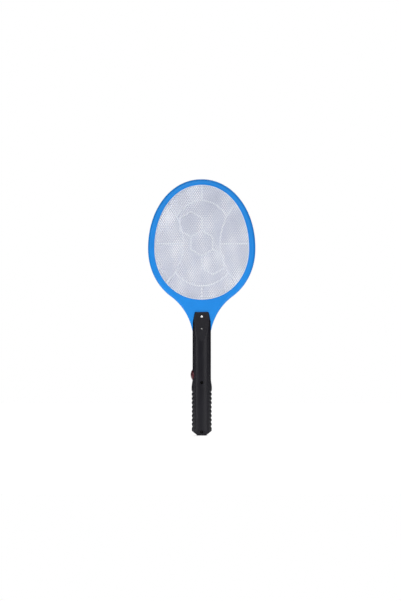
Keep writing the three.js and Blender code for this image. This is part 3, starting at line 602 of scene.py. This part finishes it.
# -------------------- head: frames
def frame_half(side):
    """One half of the blue head: a section of rounded edges, flat face, seam and net pocket
    carried round the head. Each section point follows either the outside or the opening."""
    outside = head_outline(560)
    normal = outward(outside)
    angle = np.arctan2((outside[:, 1] - HEAD_Z), outside[:, 0])
    stretch = np.where(outside[:, 1] > HEAD_Z, MOUTH_RISE, MOUTH_DROP) / MOUTH_HALF_WIDTH
    angle = np.arctan2(np.sin(angle) / stretch, np.cos(angle))
    edge = HEAD_EDGE_RADIUS * (EDGE_START + 0.88 * smooth_step(outside[:, 1], *EDGE_EASE))
    rows = []
    quarter = np.linspace(0, math.pi / 2, 7)
    face = HEAD_HALF_THICKNESS

    def by_mouth(growth, depth):
        rows.append(at_depth(mouth(angle, growth), depth))

    def by_outside(inset, depth):
        inset = np.broadcast_to(inset, len(outside))[:, None]
        rows.append(at_depth(outside - normal * inset, depth))

    by_mouth(0.0, POCKET_DEPTH + 0.05)
    for a in quarter:
        by_mouth(MOUTH_EDGE_RADIUS * (1 - math.cos(a)), face - MOUTH_EDGE_RADIUS * (1 - math.sin(a)))
    by_mouth(2.4, face)
    by_outside(edge * 1.15, face)
    rows.insert(-1, 0.12 * rows[-2] + 0.88 * rows[-1])
    for a in quarter[::-1]:
        by_outside(edge * (1 - math.cos(a)), face - edge * (1 - math.sin(a)))
    by_outside(0.0, 0.6)
    by_outside(0.25, HALF_SEAM)
    by_outside(0.9, HALF_SEAM)
    by_outside(1.0, SHUT)
    by_mouth(POCKET_GROWTH, SHUT)
    by_mouth(POCKET_GROWTH, POCKET_DEPTH + 0.05)
    points = np.array(rows)
    points[..., 1] *= side
    return points.reshape(-1, 3), grid_faces(len(rows), len(outside), wrap_rows=True)


def make_frames():
    """The two halves of the blue head."""
    for side, word in SIDES:
        make_piece(f"{word}_head_frame_moulding", frame_half(side), BLUE,
                   [f"{word}_head_frame"], 40)


# -------------------- head: grilles
def rim_band(y, inner, outer, half_thickness, corner, count=240):
    """A flat band with rounded edges along the egg-shaped opening."""
    section = rounded_rectangle(outer - inner, 2 * half_thickness, corner)
    angle = np.arange(count) / count * 2 * math.pi
    growth = (inner + outer) / 2 + section[:, 0]
    rows = [at_depth(mouth(angle, g), y + v) for g, v in zip(growth, section[:, 1])]
    return np.array(rows).reshape(-1, 3), grid_faces(len(rows), count, wrap_rows=True)


def ellipse_line(x, half_width, half_height, middle, half_angle, count=36):
    """Points of an ellipse about (x, RIB_CENTRE_Z), the same angle each way from the middle."""
    angle = middle + np.linspace(-1, 1, count) * math.radians(half_angle)
    return np.stack([x + half_width * np.cos(angle), RIB_CENTRE_Z + half_height * np.sin(angle)], 1)


def within_mouth(line, growth):
    """The part of a line that lies inside the opening grown by so much."""
    return line[mouth_share(line, growth) < 1]


def grille_ribs(y):
    """The insulator's ribs: four spokes, two side ribs bowed inwards, an arch above and below,
    and three honeycomb cells in a slanting row."""
    section = rounded_rectangle(RIB, GRILLE_THICKNESS, 0.6)
    parts = []
    for up in (-1, 1):
        spoke = [(0, RIB_CENTRE_Z + up * (ARCH_HALF_HEIGHT - 1)), (0, RIB_CENTRE_Z + up * 200)]
        spoke = np.linspace(*np.array(spoke), 120)
        parts.append(flat_bar(within_mouth(spoke, 2), y, section))
    for side in (-1, 1):
        waist = side * (BOW_CENTRE_X - BOW_RADIUS - 1)
        spoke = np.linspace((waist, RIB_CENTRE_Z - 1), (side * 120, RIB_CENTRE_Z - 1), 120)
        parts.append(flat_bar(within_mouth(spoke, 2), y, section))
        middle = math.pi if side > 0 else 0
        bow = ellipse_line(side * BOW_CENTRE_X, BOW_RADIUS, BOW_RADIUS, middle, BOW_HALF_ANGLE, 90)
        parts.append(flat_bar(within_mouth(bow, 2), y, section))
    for up, (half_width, half_angle) in ((1, UPPER_ARCH), (-1, LOWER_ARCH)):
        arch = ellipse_line(0, half_width, ARCH_HALF_HEIGHT, up * math.pi / 2, half_angle)
        parts.append(flat_bar(arch, y, section))
    corner = np.radians(90 + 60 * np.arange(6))
    for step in (-1, 0, 1):
        centre = (step * HONEYCOMB_RADIUS * math.sqrt(3) / 2, RIB_CENTRE_Z - 1.5 * step * HONEYCOMB_RADIUS)
        hexagon = np.array(centre) + HONEYCOMB_RADIUS * np.stack([np.cos(corner), np.sin(corner)], 1)
        parts.append(flat_bar(rounded_polygon(hexagon, 2.2), y, section, closed=True))
    return parts


def make_grilles():
    """The two white insulators, each a rim with a lip that grips the outer net, and its ribs."""
    for side, word in SIDES:
        y = side * GRILLE_Y
        rim = rim_band(y, -WHITE_LIP, STACK_GROWTH, GRILLE_THICKNESS / 2, 0.45)
        lip = rim_band(side * LIP_Y, -WHITE_LIP, 0.5, LIP_HALF_THICKNESS, 0.4)
        make_piece(f"{word}_insulating_grille_moulding", rim, WHITE,
                   [f"{word}_insulating_grille"], 40, added=[lip, *grille_ribs(y)])


# -------------------- head: nets
HOLE_POINTS = 12  # each diamond hole's outline, anticlockwise from its right-hand corner


def hole_outline(half_width, half_height):
    """One diamond hole about its centre: the diamond drawn in by half a strand, its side corners
    blunt where the strands join and its upper and lower corners nearly sharp."""
    keep = 1 - STRAND / 2 * math.hypot(half_width, half_height) / (half_width * half_height)
    a, b = half_width * keep, half_height * keep
    blunt, tip = 0.17, 0.07
    quarter = np.array([(a * (1 - blunt) + 0.12, 0), (a * (1 - blunt), b * blunt),
                        (a * tip, b * (1 - tip)), (0, b * (1 - tip * 0.4))])
    upper = np.vstack([quarter, quarter[2:0:-1] * (-1, 1)])
    return np.vstack([upper, -upper])


def diamond_web(half_width, half_height):
    """The flat web between diamond holes, much larger than the head: its points (x, z), how far
    each leans out of the sheet, and its faces. A strand is the quad between the facing sides of
    two holes, and a bond is the fan of triangles between the four holes that meet there."""
    rows, columns = int(250 / half_height), int(110 / half_width)
    j, m = np.meshgrid(np.arange(rows), np.arange(columns), indexing="ij")
    centre = np.stack([(2 * m + j % 2 - columns) * half_width, (j - rows / 2) * half_height], -1)
    hole = hole_outline(half_width, half_height)
    outline = centre[:, :, None] + hole
    lean = np.broadcast_to(-hole[:, 1] / half_height, outline.shape[:3])
    bond = centre + (half_width, 0)
    first_bond = rows * columns * HOLE_POINTS

    def corner(row, column, point):
        return (row * columns + column) * HOLE_POINTS + point

    inner_j, inner_m = j[1:-1, 1:-1], m[1:-1, 1:-1]
    shift = inner_j % 2
    up_right, up_left = inner_m + shift, inner_m - 1 + shift
    above, below = inner_j + 1, inner_j - 1
    strands = [[corner(inner_j, inner_m, own), corner(above, other, facing),
                corner(above, other, facing - 1), corner(inner_j, inner_m, own + 1)]
               for own, other, facing in ((1, up_right, 8), (4, up_left, 11))]
    ring = [corner(inner_j, inner_m + 1, p) for p in (7, 6, 5)]
    ring += [corner(above, up_right, p) for p in (10, 9, 8)]
    ring += [corner(inner_j, inner_m, p) for p in (1, 0, 11)]
    ring += [corner(below, up_right, p) for p in (4, 3, 2)]
    middle = first_bond + inner_j * columns + inner_m
    fans = [[middle, ring[i], ring[(i + 1) % 12]] for i in range(12)]
    quads = np.array([np.stack(s, -1).reshape(-1, 4) for s in strands]).reshape(-1, 4)
    triangles = np.array([np.stack(f, -1).reshape(-1, 3) for f in fans]).reshape(-1, 3)
    points = np.vstack([outline.reshape(-1, 2), bond.reshape(-1, 2)])
    leans = np.concatenate([lean.reshape(-1), np.zeros(rows * columns)])
    halves = np.vstack([quads[:, [0, 1, 2]], quads[:, [0, 2, 3]]])
    return points, leans, np.vstack([halves, triangles])


def expanded_net(y, width, height, turn, shift):
    """Expanded metal cut to the head: the web is turned and moved, what lies outside the cutting
    line is dropped or drawn back to that line, and the sheet gets its thickness."""
    points, leans, faces = diamond_web(width / 2, height / 2)
    c, s = math.cos(math.radians(turn)), math.sin(math.radians(turn))
    points = points @ np.array([[c, s], [-s, c]]) + (shift[0], HEAD_Z + 10 + shift[1])
    a, b, d = (points[faces[:, i]] for i in range(3))
    area = (b[:, 0] - a[:, 0]) * (d[:, 1] - a[:, 1]) - (b[:, 1] - a[:, 1]) * (d[:, 0] - a[:, 0])
    faces = np.where(area[:, None] < 0, faces[:, ::-1], faces)
    reach = mouth_share(points, STACK_GROWTH - 0.6)
    faces = faces[(reach[faces] < 1).any(1)]
    pull = 1 / np.maximum(reach, 1)
    points = np.stack([points[:, 0] * pull, HEAD_Z + (points[:, 1] - HEAD_Z) * pull], 1)
    used, faces = np.unique(faces, return_inverse=True)
    faces = faces.reshape(-1, 3)
    points, leans = points[used], leans[used] * NET_TILT
    count = len(points)
    edges = np.vstack([faces[:, [0, 1]], faces[:, [1, 2]], faces[:, [2, 0]]])
    code, back = edges[:, 0] * count + edges[:, 1], edges[:, 1] * count + edges[:, 0]
    border = edges[~np.isin(code, back)]
    walls = np.stack([border[:, 1], border[:, 0], border[:, 0] + count, border[:, 1] + count], 1)
    front = at_depth(points, y + leans - NET_SHEET / 2)
    rear = front + (0, NET_SHEET, 0)
    all_faces = faces.tolist() + (faces[:, ::-1] + count).tolist() + walls.tolist()
    return np.vstack([front, rear]), all_faces


def make_nets():
    """Three nets: the live one, between the others, is a little coarser, and it and the rear one
    lie slightly turned and moved."""
    for name, y, scale, turn, shift in (
        ("front_guard_net", -NET_Y, 1.0, 0.0, (0.0, 0.0)),
        ("live_net", 0.0, 1.06, 0.8, (2.1, 2.4)),
        ("rear_guard_net", NET_Y, 1.0, -0.6, (1.45, 1.9)),
    ):
        web = expanded_net(y, CELL_WIDTH * scale, CELL_HEIGHT * scale, turn, shift)
        selvage = rim_band(y, STACK_GROWTH - 1.2, STACK_GROWTH, 0.28, 0.1, 160)
        make_piece(f"{name}_mesh", joined(web, selvage), NET_METAL, [name], 28, merge=0)


# -------------------- handle: surface
def crown(x):
    """Half thickness across the crown, an arc from EDGE_Y at EDGE_X up to CROWN_Y."""
    rise = CROWN_Y - EDGE_Y
    radius = (EDGE_X**2 + rise**2) / (2 * rise)
    return CROWN_Y - radius + np.sqrt(np.maximum(radius**2 - np.asarray(x) ** 2, 0))


def groove(z):
    """How deep the finger grooves are at a height, from 0 on a ridge to 1 in a groove."""
    phase = (z - GROOVE_TOP) / GROOVE_PITCH
    wave = (0.5 + 0.5 * np.cos(2 * math.pi * phase)) ** 1.5
    low = GROOVE_TOP - (GROOVE_COUNT - 0.5) * GROOVE_PITCH
    return wave * ((z > low) & (z < GROOVE_TOP + GROOVE_PITCH / 2))


def half_width_at(z):
    """The handle's silhouette from the front, before the grooves."""
    return np.interp(z, *zip(*SILHOUETTE))


def cap_at(z):
    """The largest half thickness at a height: stepped butt, straight body, sloping flat."""
    heights = [0, 1.7, 2.0, 7.0, 8.0, 9.2, RAMP_Z, HANDLE_TOP]
    depths = [8.3, 8.6, 8.8, 12.6, 13.3, 20.0, 20.0, 20.0]
    ramp = CROWN_Y - RAMP_SLOPE * (np.asarray(z) - RAMP_Z)
    return np.where(np.asarray(z) > RAMP_Z - 8, ramp, np.interp(z, heights, depths))


def end_inset(z):
    """How far the surface draws in beside the butt's and the tongue's ends, a quarter circle."""
    depth = np.minimum(np.asarray(z), HANDLE_TOP - np.asarray(z))
    t = np.clip(1 - depth / END_RADIUS, 0, 1)
    return END_RADIUS * (1 - np.sqrt(1 - t * t))


CROWN_SHARES = np.concatenate([np.linspace(0, 0.78, 20), np.linspace(0.8, 0.94, 13)])


def half_section(z):
    """Half of the handle's outer section at each height, from the middle of the crown out over the
    long edge and the shoulder and down the side wall to the seam, as (rows, columns, 2)."""
    z = np.asarray(z, float)[:, None]
    inset, deep = end_inset(z), groove(z)
    half = half_width_at(z) - GROOVE_DEPTH * deep - inset
    cap = cap_at(z) - inset
    edge_y = np.minimum(EDGE_Y, cap)
    edge_x = np.minimum(EDGE_X + np.maximum(0, EDGE_Y - cap) / SHOULDER_SLOPE, half - 0.9)
    corner_y = np.minimum(EDGE_Y - SHOULDER_SLOPE * (half - EDGE_X), cap) - 0.8 * deep
    lift = smooth_step(z, 174, SHOULDER_Z)
    corner_y = np.minimum(corner_y + (TONGUE_EDGE_Y - corner_y) * lift, edge_y)
    x = edge_x * CROWN_SHARES
    line = 0.4 * swell(x, TRIM_LINE_X, 0.4)
    line = line * smooth_step(z, 9, 12) * (1 - smooth_step(z, 170, 184))
    over = np.minimum(crown(x), cap) - line
    columns = [np.stack([x, over], -1)]
    edge = np.concatenate([edge_x, edge_y], 1)[:, None]
    corner = np.concatenate([half, corner_y], 1)[:, None]
    t = np.linspace(0, 1, 5)[None, :, None]
    inwards = np.stack([0 * edge_x, 0 * edge_x], -1) + unit(np.array([-1.0, 0.4]))
    columns.append(edge + 0.35 * (1 - t) ** 2 * inwards + 0.7 * t**2 * unit(corner - edge))
    span = np.linalg.norm(corner - edge, axis=-1, keepdims=True)
    reach = np.minimum(0.9 - 0.3 * lift[..., None], span * 0.4)
    t = np.linspace(0, 1, 6)[None, :, None]
    bend = reach * (1 - t) ** 2 * unit(edge - corner) + reach * t**2 * np.array([0, -1.0])
    columns.append(corner + bend)
    return np.concatenate(columns, 1)


def shell_heights():
    """Heights of the handle's rows: close together at the ends and the grooves."""
    rows = [np.linspace(0, 0.6, 5), [1.2, 1.7, 2.0, 3, 4, 5, 6, 7, 7.4, 7.9, 8.4, 9, 9.6]]
    rows += [np.arange(10.4, 84, 0.55), np.arange(84, 102, 1.0), np.arange(102, 160, 2.4)]
    rows += [np.arange(160, HANDLE_TOP - 1.2, 1.0), HANDLE_TOP - np.linspace(0.6, 0, 6)]
    return np.concatenate(rows)


def shell(side, lip):
    """One handle half: a ring of outer and inner section carried up the handle. The inner side
    is flat at the seam in the solid butt, hollow along the body, and a flat face under the
    tongue. The front half has a lip inside the seam and the rear half the rebate for it."""
    z = shell_heights()
    steps = (CAVITY_FLOOR, SHOULDER_Z)
    z = np.sort(np.concatenate([z[(np.abs(z - steps[0]) > 0.3) & (np.abs(z - steps[1]) > 0.3)],
                                [s + d for s in steps for d in (-0.005, 0.005)]]))
    outer = half_section(z)
    hollow = (z > CAVITY_FLOOR) & (z < SHOULDER_Z)
    tongue = z > SHOULDER_Z
    seam = np.where(tongue, NECK_FACE, HALF_SEAM)[:, None]
    closed = np.where(tongue, NECK_FACE - TONGUE_SHUT, SHUT)[:, None]
    foot = np.stack([outer[:, -1:, 0], seam], -1)
    right = np.concatenate([outer, foot], 1)
    step_in, step_over = LIP if lip else REBATE
    step_x, step_y = outer[:, -1:, 0] - step_in, HALF_SEAM + step_over
    x = np.concatenate([step_x, step_x, np.full((len(z), 2), CAVITY_HALF_WIDTH)], 1)
    y = np.broadcast_to([HALF_SEAM, step_y, step_y, 5.0], x.shape)
    inner_x = np.concatenate([x, np.broadcast_to([12.0, *CEILING_X], (len(z), 4))], 1)
    inner_y = np.concatenate([y, np.broadcast_to([9.0, *(crown(CEILING_X) - WALL)], (len(z), 4))], 1)
    flat_x = foot[:, :, 0] * np.array([0.93, 0.9, 0.85, 0.8, 0.7, 0.5, 0.3, 0.15])
    keep = hollow[:, None]
    inner = np.stack([np.where(keep, inner_x, flat_x), np.where(keep, inner_y, closed)], -1)
    half = np.concatenate([right, inner], 1)
    ring = np.concatenate([half, half[:, ::-1] * (-1, 1)], 1)
    points = np.stack([ring[..., 0], side * ring[..., 1], np.broadcast_to(z[:, None], ring.shape[:2])], -1)
    return points.reshape(-1, 3), capped_faces(*ring.shape[:2])


def well(z, floor, radius):
    """The cutter for a screw's well."""
    return turned([(0, -16.0), (radius, -16.0), (radius, floor), (0, floor)], "Y", (0, 0, z), 40)


def button_bore():
    """The cutter for the button's hole."""
    profile = [(0, -25), (BUTTON_HOLE, -25), (BUTTON_HOLE, -10.4), (0, -10.4)]
    return turned(profile, "X", (0, 0, BUTTON_Z), 72)


def screw_boss():
    """The tube inside the front half that the middle screw's head sits in."""
    profile = [(1.8, -0.4), (4.4, -0.4), (4.4, -12.0), (SCREW_WELL, -12.0), (SCREW_WELL, -4.95),
               (1.8, -4.95)]
    points, _ = turned(profile, "Y", (0, 0, MIDDLE_SCREW[0]), 40)
    return points, grid_faces(len(profile), 40, wrap_rows=True)


def prism(outline, y_low, y_high):
    """A front-view outline made solid between two depths."""
    rows = [at_depth(outline, y) for y in (y_low, y_high)]
    return np.vstack(rows), capped_faces(2, len(outline))


def doorway():
    """The outline of the hole for the battery door and its tab, a gap larger than they are."""
    side, tab = DOOR_HALF_WIDTH + DOOR_GAP, TAB_HALF_WIDTH + DOOR_GAP
    top = DOOR_HIGH + DOOR_GAP
    right = [(side, DOOR_LOW - DOOR_GAP), (side, top), (tab, top), (tab, top + TAB_REACH)]
    left = [(-x, z) for x, z in reversed(right)]
    return rounded_polygon(right + left, [0.8, 0.8, 0.3, 0.8, 0.8, 0.3, 0.8, 0.8])


def make_shells():
    """The two black halves, with their wells, bores and the doorway behind the cells."""
    wells = [well(z, face + 1.65, SCREW_WELL) for z, face, _ in (NECK_SCREW, MIDDLE_SCREW, BUTT_SCREW)]
    wells.append(well(LAMP_Z, -6.0, LAMP_HOLE))
    make_piece("front_handle_moulding", shell(FRONT, True), BLACK,
               ["front_handle_shell"], 30, cutters=[*wells, button_bore()])
    make_piece("middle_screw_boss", screw_boss(), BLACK)
    make_piece("rear_handle_moulding", shell(REAR, False), BLACK,
               ["rear_handle_shell"], 30, cutters=[prism(doorway(), 5.0, 20.0), button_bore()])


# -------------------- battery door
def door_panel(half_width, low, high, inner_y, ridges=()):
    """A panel that carries on the handle's rear surface: outer and inner curves across, carried
    up the door, with softened edges and raised thumb ridges."""
    x = np.linspace(-half_width, half_width, 61)
    z = np.unique(np.concatenate([[low, low + 0.2, low + 0.45], np.arange(low + 1, high - 0.6, 0.45),
                                  [high - 0.45, high - 0.2, high]]))
    outer = np.minimum(crown(x), EDGE_Y - SHOULDER_SLOPE * (np.abs(x) - EDGE_X))
    inner = np.maximum(np.minimum(crown(x) - WALL, EDGE_Y - WALL - 1.45 * (np.abs(x) - 12.0)), inner_y)
    edge = np.minimum(half_width - np.abs(x)[None], np.minimum(z - low, high - z)[:, None])
    soft = 0.3 * np.clip(1 - edge / 0.45, 0, 1) ** 2
    depth = outer[None] - soft
    depth = depth - 0.35 * swell(np.abs(x), TRIM_LINE_X, 0.4)[None]
    for centre in ridges:
        ridge = swell(z[:, None], centre, 0.55) * smooth_step(7.5 - np.abs(x)[None], 0, 1)
        depth = depth - 0.55 * ridge
    rows, columns = len(z), len(x)
    ring = np.concatenate([np.stack([np.broadcast_to(x, depth.shape), depth], -1),
                           np.stack(np.broadcast_arrays(x[::-1], inner[::-1] + 0 * z[:, None]), -1)], 1)
    points = np.stack([ring[..., 0], ring[..., 1], np.broadcast_to(z[:, None], ring.shape[:2])], -1)
    faces = grid_faces(rows, 2 * columns).tolist()
    for row in (0, rows - 1):
        start = row * 2 * columns
        faces += [[start + i, start + i + 1, start + 2 * columns - 2 - i, start + 2 * columns - 1 - i]
                  for i in range(columns - 1)]
    return points.reshape(-1, 3), faces


def make_door():
    """The door with its thumb ridges, and the tab above it that goes under the shell's edge."""
    ridges = DOOR_HIGH - RIDGE_DROP - RIDGE_PITCH * np.arange(RIDGE_COUNT)
    panel = door_panel(DOOR_HALF_WIDTH, DOOR_LOW, DOOR_HIGH, 5.0, ridges)
    tab = door_panel(TAB_HALF_WIDTH, DOOR_HIGH - 1.0, DOOR_HIGH + TAB_REACH, 9.4)
    make_piece("battery_door_moulding", panel, BLACK, ["battery_door"], 35,
               "battery_cover", added=[tab])


# -------------------- button, lamp and screws
def make_button():
    """A domed disc with a fine ring line, a rounded rim, a skirt and a stem."""
    sphere = (BUTTON_RADIUS**2 + BUTTON_RISE**2) / (2 * BUTTON_RISE)
    radius = np.concatenate([np.linspace(0, 7.6, 24), np.linspace(7.8, 8.8, 14), [9.1, 9.35, 9.5]])
    dome = sphere - np.sqrt(sphere**2 - radius**2) - BUTTON_RISE
    dome = dome + 0.28 * swell(radius, 8.3, 0.22)
    rim = [(9.66, -0.16), (9.77, 0.06), (BUTTON_RADIUS, 0.3), (BUTTON_RADIUS, 3.7)]
    inside = [(8.2, 3.7), (8.2, 0.9), (2.2, 0.9), (2.2, 2.0), (0, 2.0)]
    profile = [*np.stack([radius, dome], 1), *rim, *inside]
    make_piece("power_button_moulding", turned(profile, "X", (-HALF_WIDTH, 0, BUTTON_Z), 96), RED,
               ["power_button"], 30, "button")


def screw_head(radius, height):
    """A pan head by polar grid: a low dome with a cross recess sunk into it. The recess is deepest
    where a point is within both an arm's half width and its length."""
    rings = np.concatenate([np.linspace(0, 0.74, 26), np.linspace(0.77, 0.97, 7), [1.0]]) * radius
    angle = np.arange(72) / 72 * 2 * math.pi
    r, a = np.meshgrid(rings, angle, indexing="ij")
    x, z = r * np.cos(a), r * np.sin(a)
    share = r / radius
    dome = height * (1 - np.sqrt(np.maximum(1 - 0.75 * share**2, 0))) * 1.1
    dome[-1] = height * 0.72
    arm, length = radius * 0.14, radius * 0.64

    def inside(across, along):
        within = smooth_step(arm + 0.07 - np.abs(across), 0, 0.1)
        return within * smooth_step(length - np.abs(along), 0, 0.3)

    sunk = np.maximum(inside(x, z), inside(z, x)) * height * 0.6
    return np.stack([x, dome + sunk, z], -1), angle


def screw(face, tip, radius, height, shank, z, x=0.0):
    """A self-tapping screw along Y: the recessed head, then a shank whose radius follows a helix."""
    head, angle = screw_head(radius, height)
    length = tip - face
    steps = np.arange(height + 0.3, length - 1.2, 0.22)
    along = np.concatenate([[height, height], steps, np.linspace(length - 1.2, length, 6)])
    taper = np.clip((length - along) / 1.3, 0.03, 1)
    thread = 0.5 + 0.5 * np.cos(2 * math.pi * along[:, None] / 1.25 - angle[None])
    r = shank * taper[:, None] * (0.74 + 0.26 * thread)
    r[0] = radius
    r[1] = shank
    r[-1] = 0
    body = np.stack([r * np.cos(angle), np.broadcast_to(along[:, None], r.shape), r * np.sin(angle)], -1)
    points = np.concatenate([head, body]) + (x, face, z)
    return points.reshape(-1, 3), grid_faces(len(points), len(angle))


def make_screws():
    """Three screws in the case and two in the board. The middle and butt screws get dark steel as painted
    shade: they are plated screws like the neck's, darkened to stand for the shadow down their deep wells.
    """
    for name, (z, face, tip), material in (
        ("neck_screw", NECK_SCREW, SCREW_STEEL),
        ("middle_screw", MIDDLE_SCREW, PAINTED_SHADE_STEEL),
        ("butt_screw", BUTT_SCREW, PAINTED_SHADE_STEEL),
    ):
        make_piece(f"{name}_turned", screw(face, tip, *CASE_SCREW, z), material,
                   [name], 30)
    for name, x, z in (("upper_board_screw", -7.8, 128.0), ("lower_board_screw", 7.8, 103.4)):
        make_piece(f"{name}_turned", screw(2.1, 8.5, *BOARD_SCREW, z, x), SCREW_STEEL,
                   [name], 30)


def make_lamp():
    """A round-nosed lamp with a collar and two wire legs."""
    nose = np.linspace(0, math.pi / 2, 9)
    profile = [(1.5 * math.sin(a), 1.5 - 1.5 * math.cos(a)) for a in nose]
    profile += [(1.5, 3.6), (1.75, 3.65), (1.75, 4.4), (0, 4.4)]
    lens = turned(profile, "Y", (0, -12.0, LAMP_Z), 32)
    make_piece("indicator_led_cast", lens, LENS, ["indicator_led"])
    bends = [(-7.55, LAMP_Z), (-7.3, 191.2), (-7.2, 190), (-7.2, 170), (-7.15, 158.2), (-6.8, 157.2),
             (-6.2, 156.9), (-1.0, 156.9), (3.2, 156.9)]
    legs = [tube([(x, y, z) for y, z in bends], 0.24, 8) for x in (-1.1, 1.1)]
    make_piece("indicator_led_legs", joined(*legs), NICKEL)


# -------------------- cells and their contacts
CELL_PARTS = (  # name, material, slot, profile of (radius, distance from the base)
    ("jacket", JACKET, "cell_jacket",
     [(5.7, 0.35), (6.2, 0.15), (6.75, 0.2), (6.97, 0.6), (7.0, 1.4), (7.0, 47.6), (6.9, 48.2),
      (6.5, 48.6), (5.9, 48.5), (5.8, 48.2)]),
    ("base", NICKEL, "contact_nickel",
     [(0, 0.0), (4.6, 0.0), (5.0, 0.12), (5.3, 0.4), (5.72, 0.45), (5.75, 1.5), (0, 1.5)]),
    ("cap", NICKEL, "contact_nickel",
     [(0, 47.4), (5.85, 47.4), (5.85, 48.3), (5.0, 48.45), (3.4, 48.5), (2.75, 48.8), (2.62, 49.6),
      (2.55, 50.2), (2.2, 50.5), (0, 50.5)]),
)


def make_cells():
    """Two cells, one each way up, each a rolled jacket, a steel cap with its nub, and a base."""
    for name, x, base, up in (("left_cell", -CELL_X, LEFT_CELL_Z, 1),
                              ("right_cell", CELL_X, BAY_LOW + CELL_LENGTH, -1)):
        for word, material, slot, profile in CELL_PARTS:
            jacket = word == "jacket"
            points, _ = turned([(r, up * d) for r, d in profile], "Z", (x, 0, base), 56)
            faces = grid_faces(len(profile), 56, wrap_rows=jacket)
            make_piece(f"{name}_{word}", (points, faces), material, [name] if jacket else [], 35)


def coil_spring(x, from_z, to_z):
    """A conical coil: radius and height change evenly with the angle, with a flat first turn."""
    turns, wide, narrow, wire = 3.6, 4.4, 2.6, 0.4
    share = np.linspace(0, 1, 150)
    angle = share * turns * 2 * math.pi
    climb = smooth_step(share, 0.0, 1.0) * 0.35 + share * 0.65
    radius = wide + (narrow - wide) * share
    rise = (to_z - from_z) - np.sign(to_z - from_z) * 2 * wire
    z = from_z + np.sign(rise) * wire + rise * climb
    path = np.stack([x + radius * np.cos(angle), radius * np.sin(angle), z], 1)
    return tube(path, wire, 10)


def make_contacts():
    """A conical spring under each cell's base and three plates with softened edges."""
    for name, x, start, end in (("lower", -CELL_X, BAY_LOW, 16.7), ("upper", CELL_X, 68.0, 62.9)):
        make_piece(f"{name}_cell_spring_coil", coil_spring(x, start, end), NICKEL,
                   [f"{name}_cell_spring"], 60)
    for name, left, right, z in (("bridge", -12.5, 12.5, 11.3), ("positive", -12.0, -2.6, UPPER_PLATE_Z),
                                 ("negative", 2.6, 12.0, UPPER_PLATE_Z)):
        low, high = (left, -PLATE_HALF_DEPTH, z), (right, PLATE_HALF_DEPTH, z + PLATE_THICKNESS)
        plate = soft_box(low, high, 0.12)
        make_piece(f"{name}_contact_stamping", plate, NICKEL, [f"{name}_contact"], 40)


# -------------------- parts kept as the frame has them
KEPT = (
    (ACETAL, ["push_switch_plunger"]),
    (EPOXY, ["push_switch_body", "oscillator_transistor", "rectifier_diode_1", "rectifier_diode_2",
             "rectifier_diode_3"]),
    (LAMINATE, ["circuit_board"]),
    (FERRITE, ["transformer_core"]),
    (COPPER, ["transformer_coil"]),
    (RESIN_BROWN, ["storage_capacitor"]),
    (RESIN_BLUE, ["doubler_capacitor_1", "doubler_capacitor_2"]),
    (PAINT_TAN, ["base_resistor", "led_resistor", "bleed_resistor"]),
    (SLEEVE_RED, ["live_lead", "positive_battery_lead"]),
    (SLEEVE_BLACK, ["guard_lead", "negative_battery_lead"]),
)


def dress_kept_parts():
    """Finishes for the parts whose shape stays as the frame has it."""
    for material, names in KEPT:
        for name in names:
            finish = frame["nodes"][name].data.materials
            finish.clear()
            finish.append(material)


# -------------------- stage, light and camera
FLOOR_Z = float(cad_low[2])
FLOOR_REACH = 0.9
CAMERA_DISTANCE = 3.0
VIEW_HEIGHT = 1.080  # how much height the camera takes in at the object
AIM = (-0.0022, 0.0, 0.1921)
AMBIENT = 0.11
SUNS = (  # name, direction it comes from, strength, spread in degrees
    ("front_left", (-0.57, -0.82, 0.14), 0.5, 22),
    ("front_right", (0.36, -0.93, 0.14), 0.5, 18),
    ("above", (-0.1, -0.85, 0.46), 0.95, 34),
    ("behind", (0.3, 0.7, 0.7), 1.2, 50),
)


def make_floor():
    """A wide pale floor at the butt's height that gives off some light of its own."""
    mesh = bpy.data.meshes.new("floor")
    turns = ((-1, -1), (1, -1), (1, 1), (-1, 1))
    corners = [(x * FLOOR_REACH, y * FLOOR_REACH, FLOOR_Z) for x, y in turns]
    mesh.from_pydata(corners, [], [(0, 1, 2, 3)])
    material, tree, shader, place = finish_nodes("pale_floor")
    set_inputs(tree, shader, {
        "Roughness": ranged(tree, noise(tree, place, 3, 2), 0.9, 1.0),
        "Base Color": (0.9, 0.9, 0.9, 1),
        "Emission Color": (1, 1, 1, 1),
        "Emission Strength": 0.7,
    })
    mesh.materials.append(material)
    placed("floor", mesh)


def make_world():
    """A white surround as the camera sees it, and a dim one as a light."""
    world = bpy.data.worlds.new("studio")
    world.use_nodes = True
    bpy.context.scene.world = world
    tree = world.node_tree
    seen = add_node(tree, "LightPath", {}, "Is Camera Ray")
    strength = ranged(tree, seen, AMBIENT, 1.0, 0, 1)
    set_inputs(tree, tree.nodes["Background"], {"Color": (1, 1, 1, 1), "Strength": strength})


def make_lights():
    """Broad distant lights: one from the front left, one from the front right, one from above and one from
    behind.
    """
    for name, place, strength, spread in SUNS:
        data = bpy.data.lights.new(name, "SUN")
        data.energy = strength
        data.angle = math.radians(spread)
        placed(name, data).rotation_euler = (-Vector(place)).to_track_quat("-Z", "Y").to_euler()


def make_camera():
    """A level camera in front, far enough away that the view is nearly flat."""
    data = bpy.data.cameras.new("camera")
    data.sensor_width = 36.0
    data.lens = data.sensor_width * CAMERA_DISTANCE / VIEW_HEIGHT
    data.clip_end = 100
    camera = placed("camera", data)
    camera.location = (AIM[0], AIM[1] - CAMERA_DISTANCE, AIM[2])
    camera.rotation_euler = (math.pi / 2, 0, 0)
    bpy.context.scene.camera = camera


make_frames()
make_grilles()
make_nets()
make_shells()
make_door()
make_button()
make_screws()
make_lamp()
make_cells()
make_contacts()
dress_kept_parts()
make_floor()
make_world()
make_lights()
make_camera()
bpy.context.scene.view_settings.view_transform = "Standard"
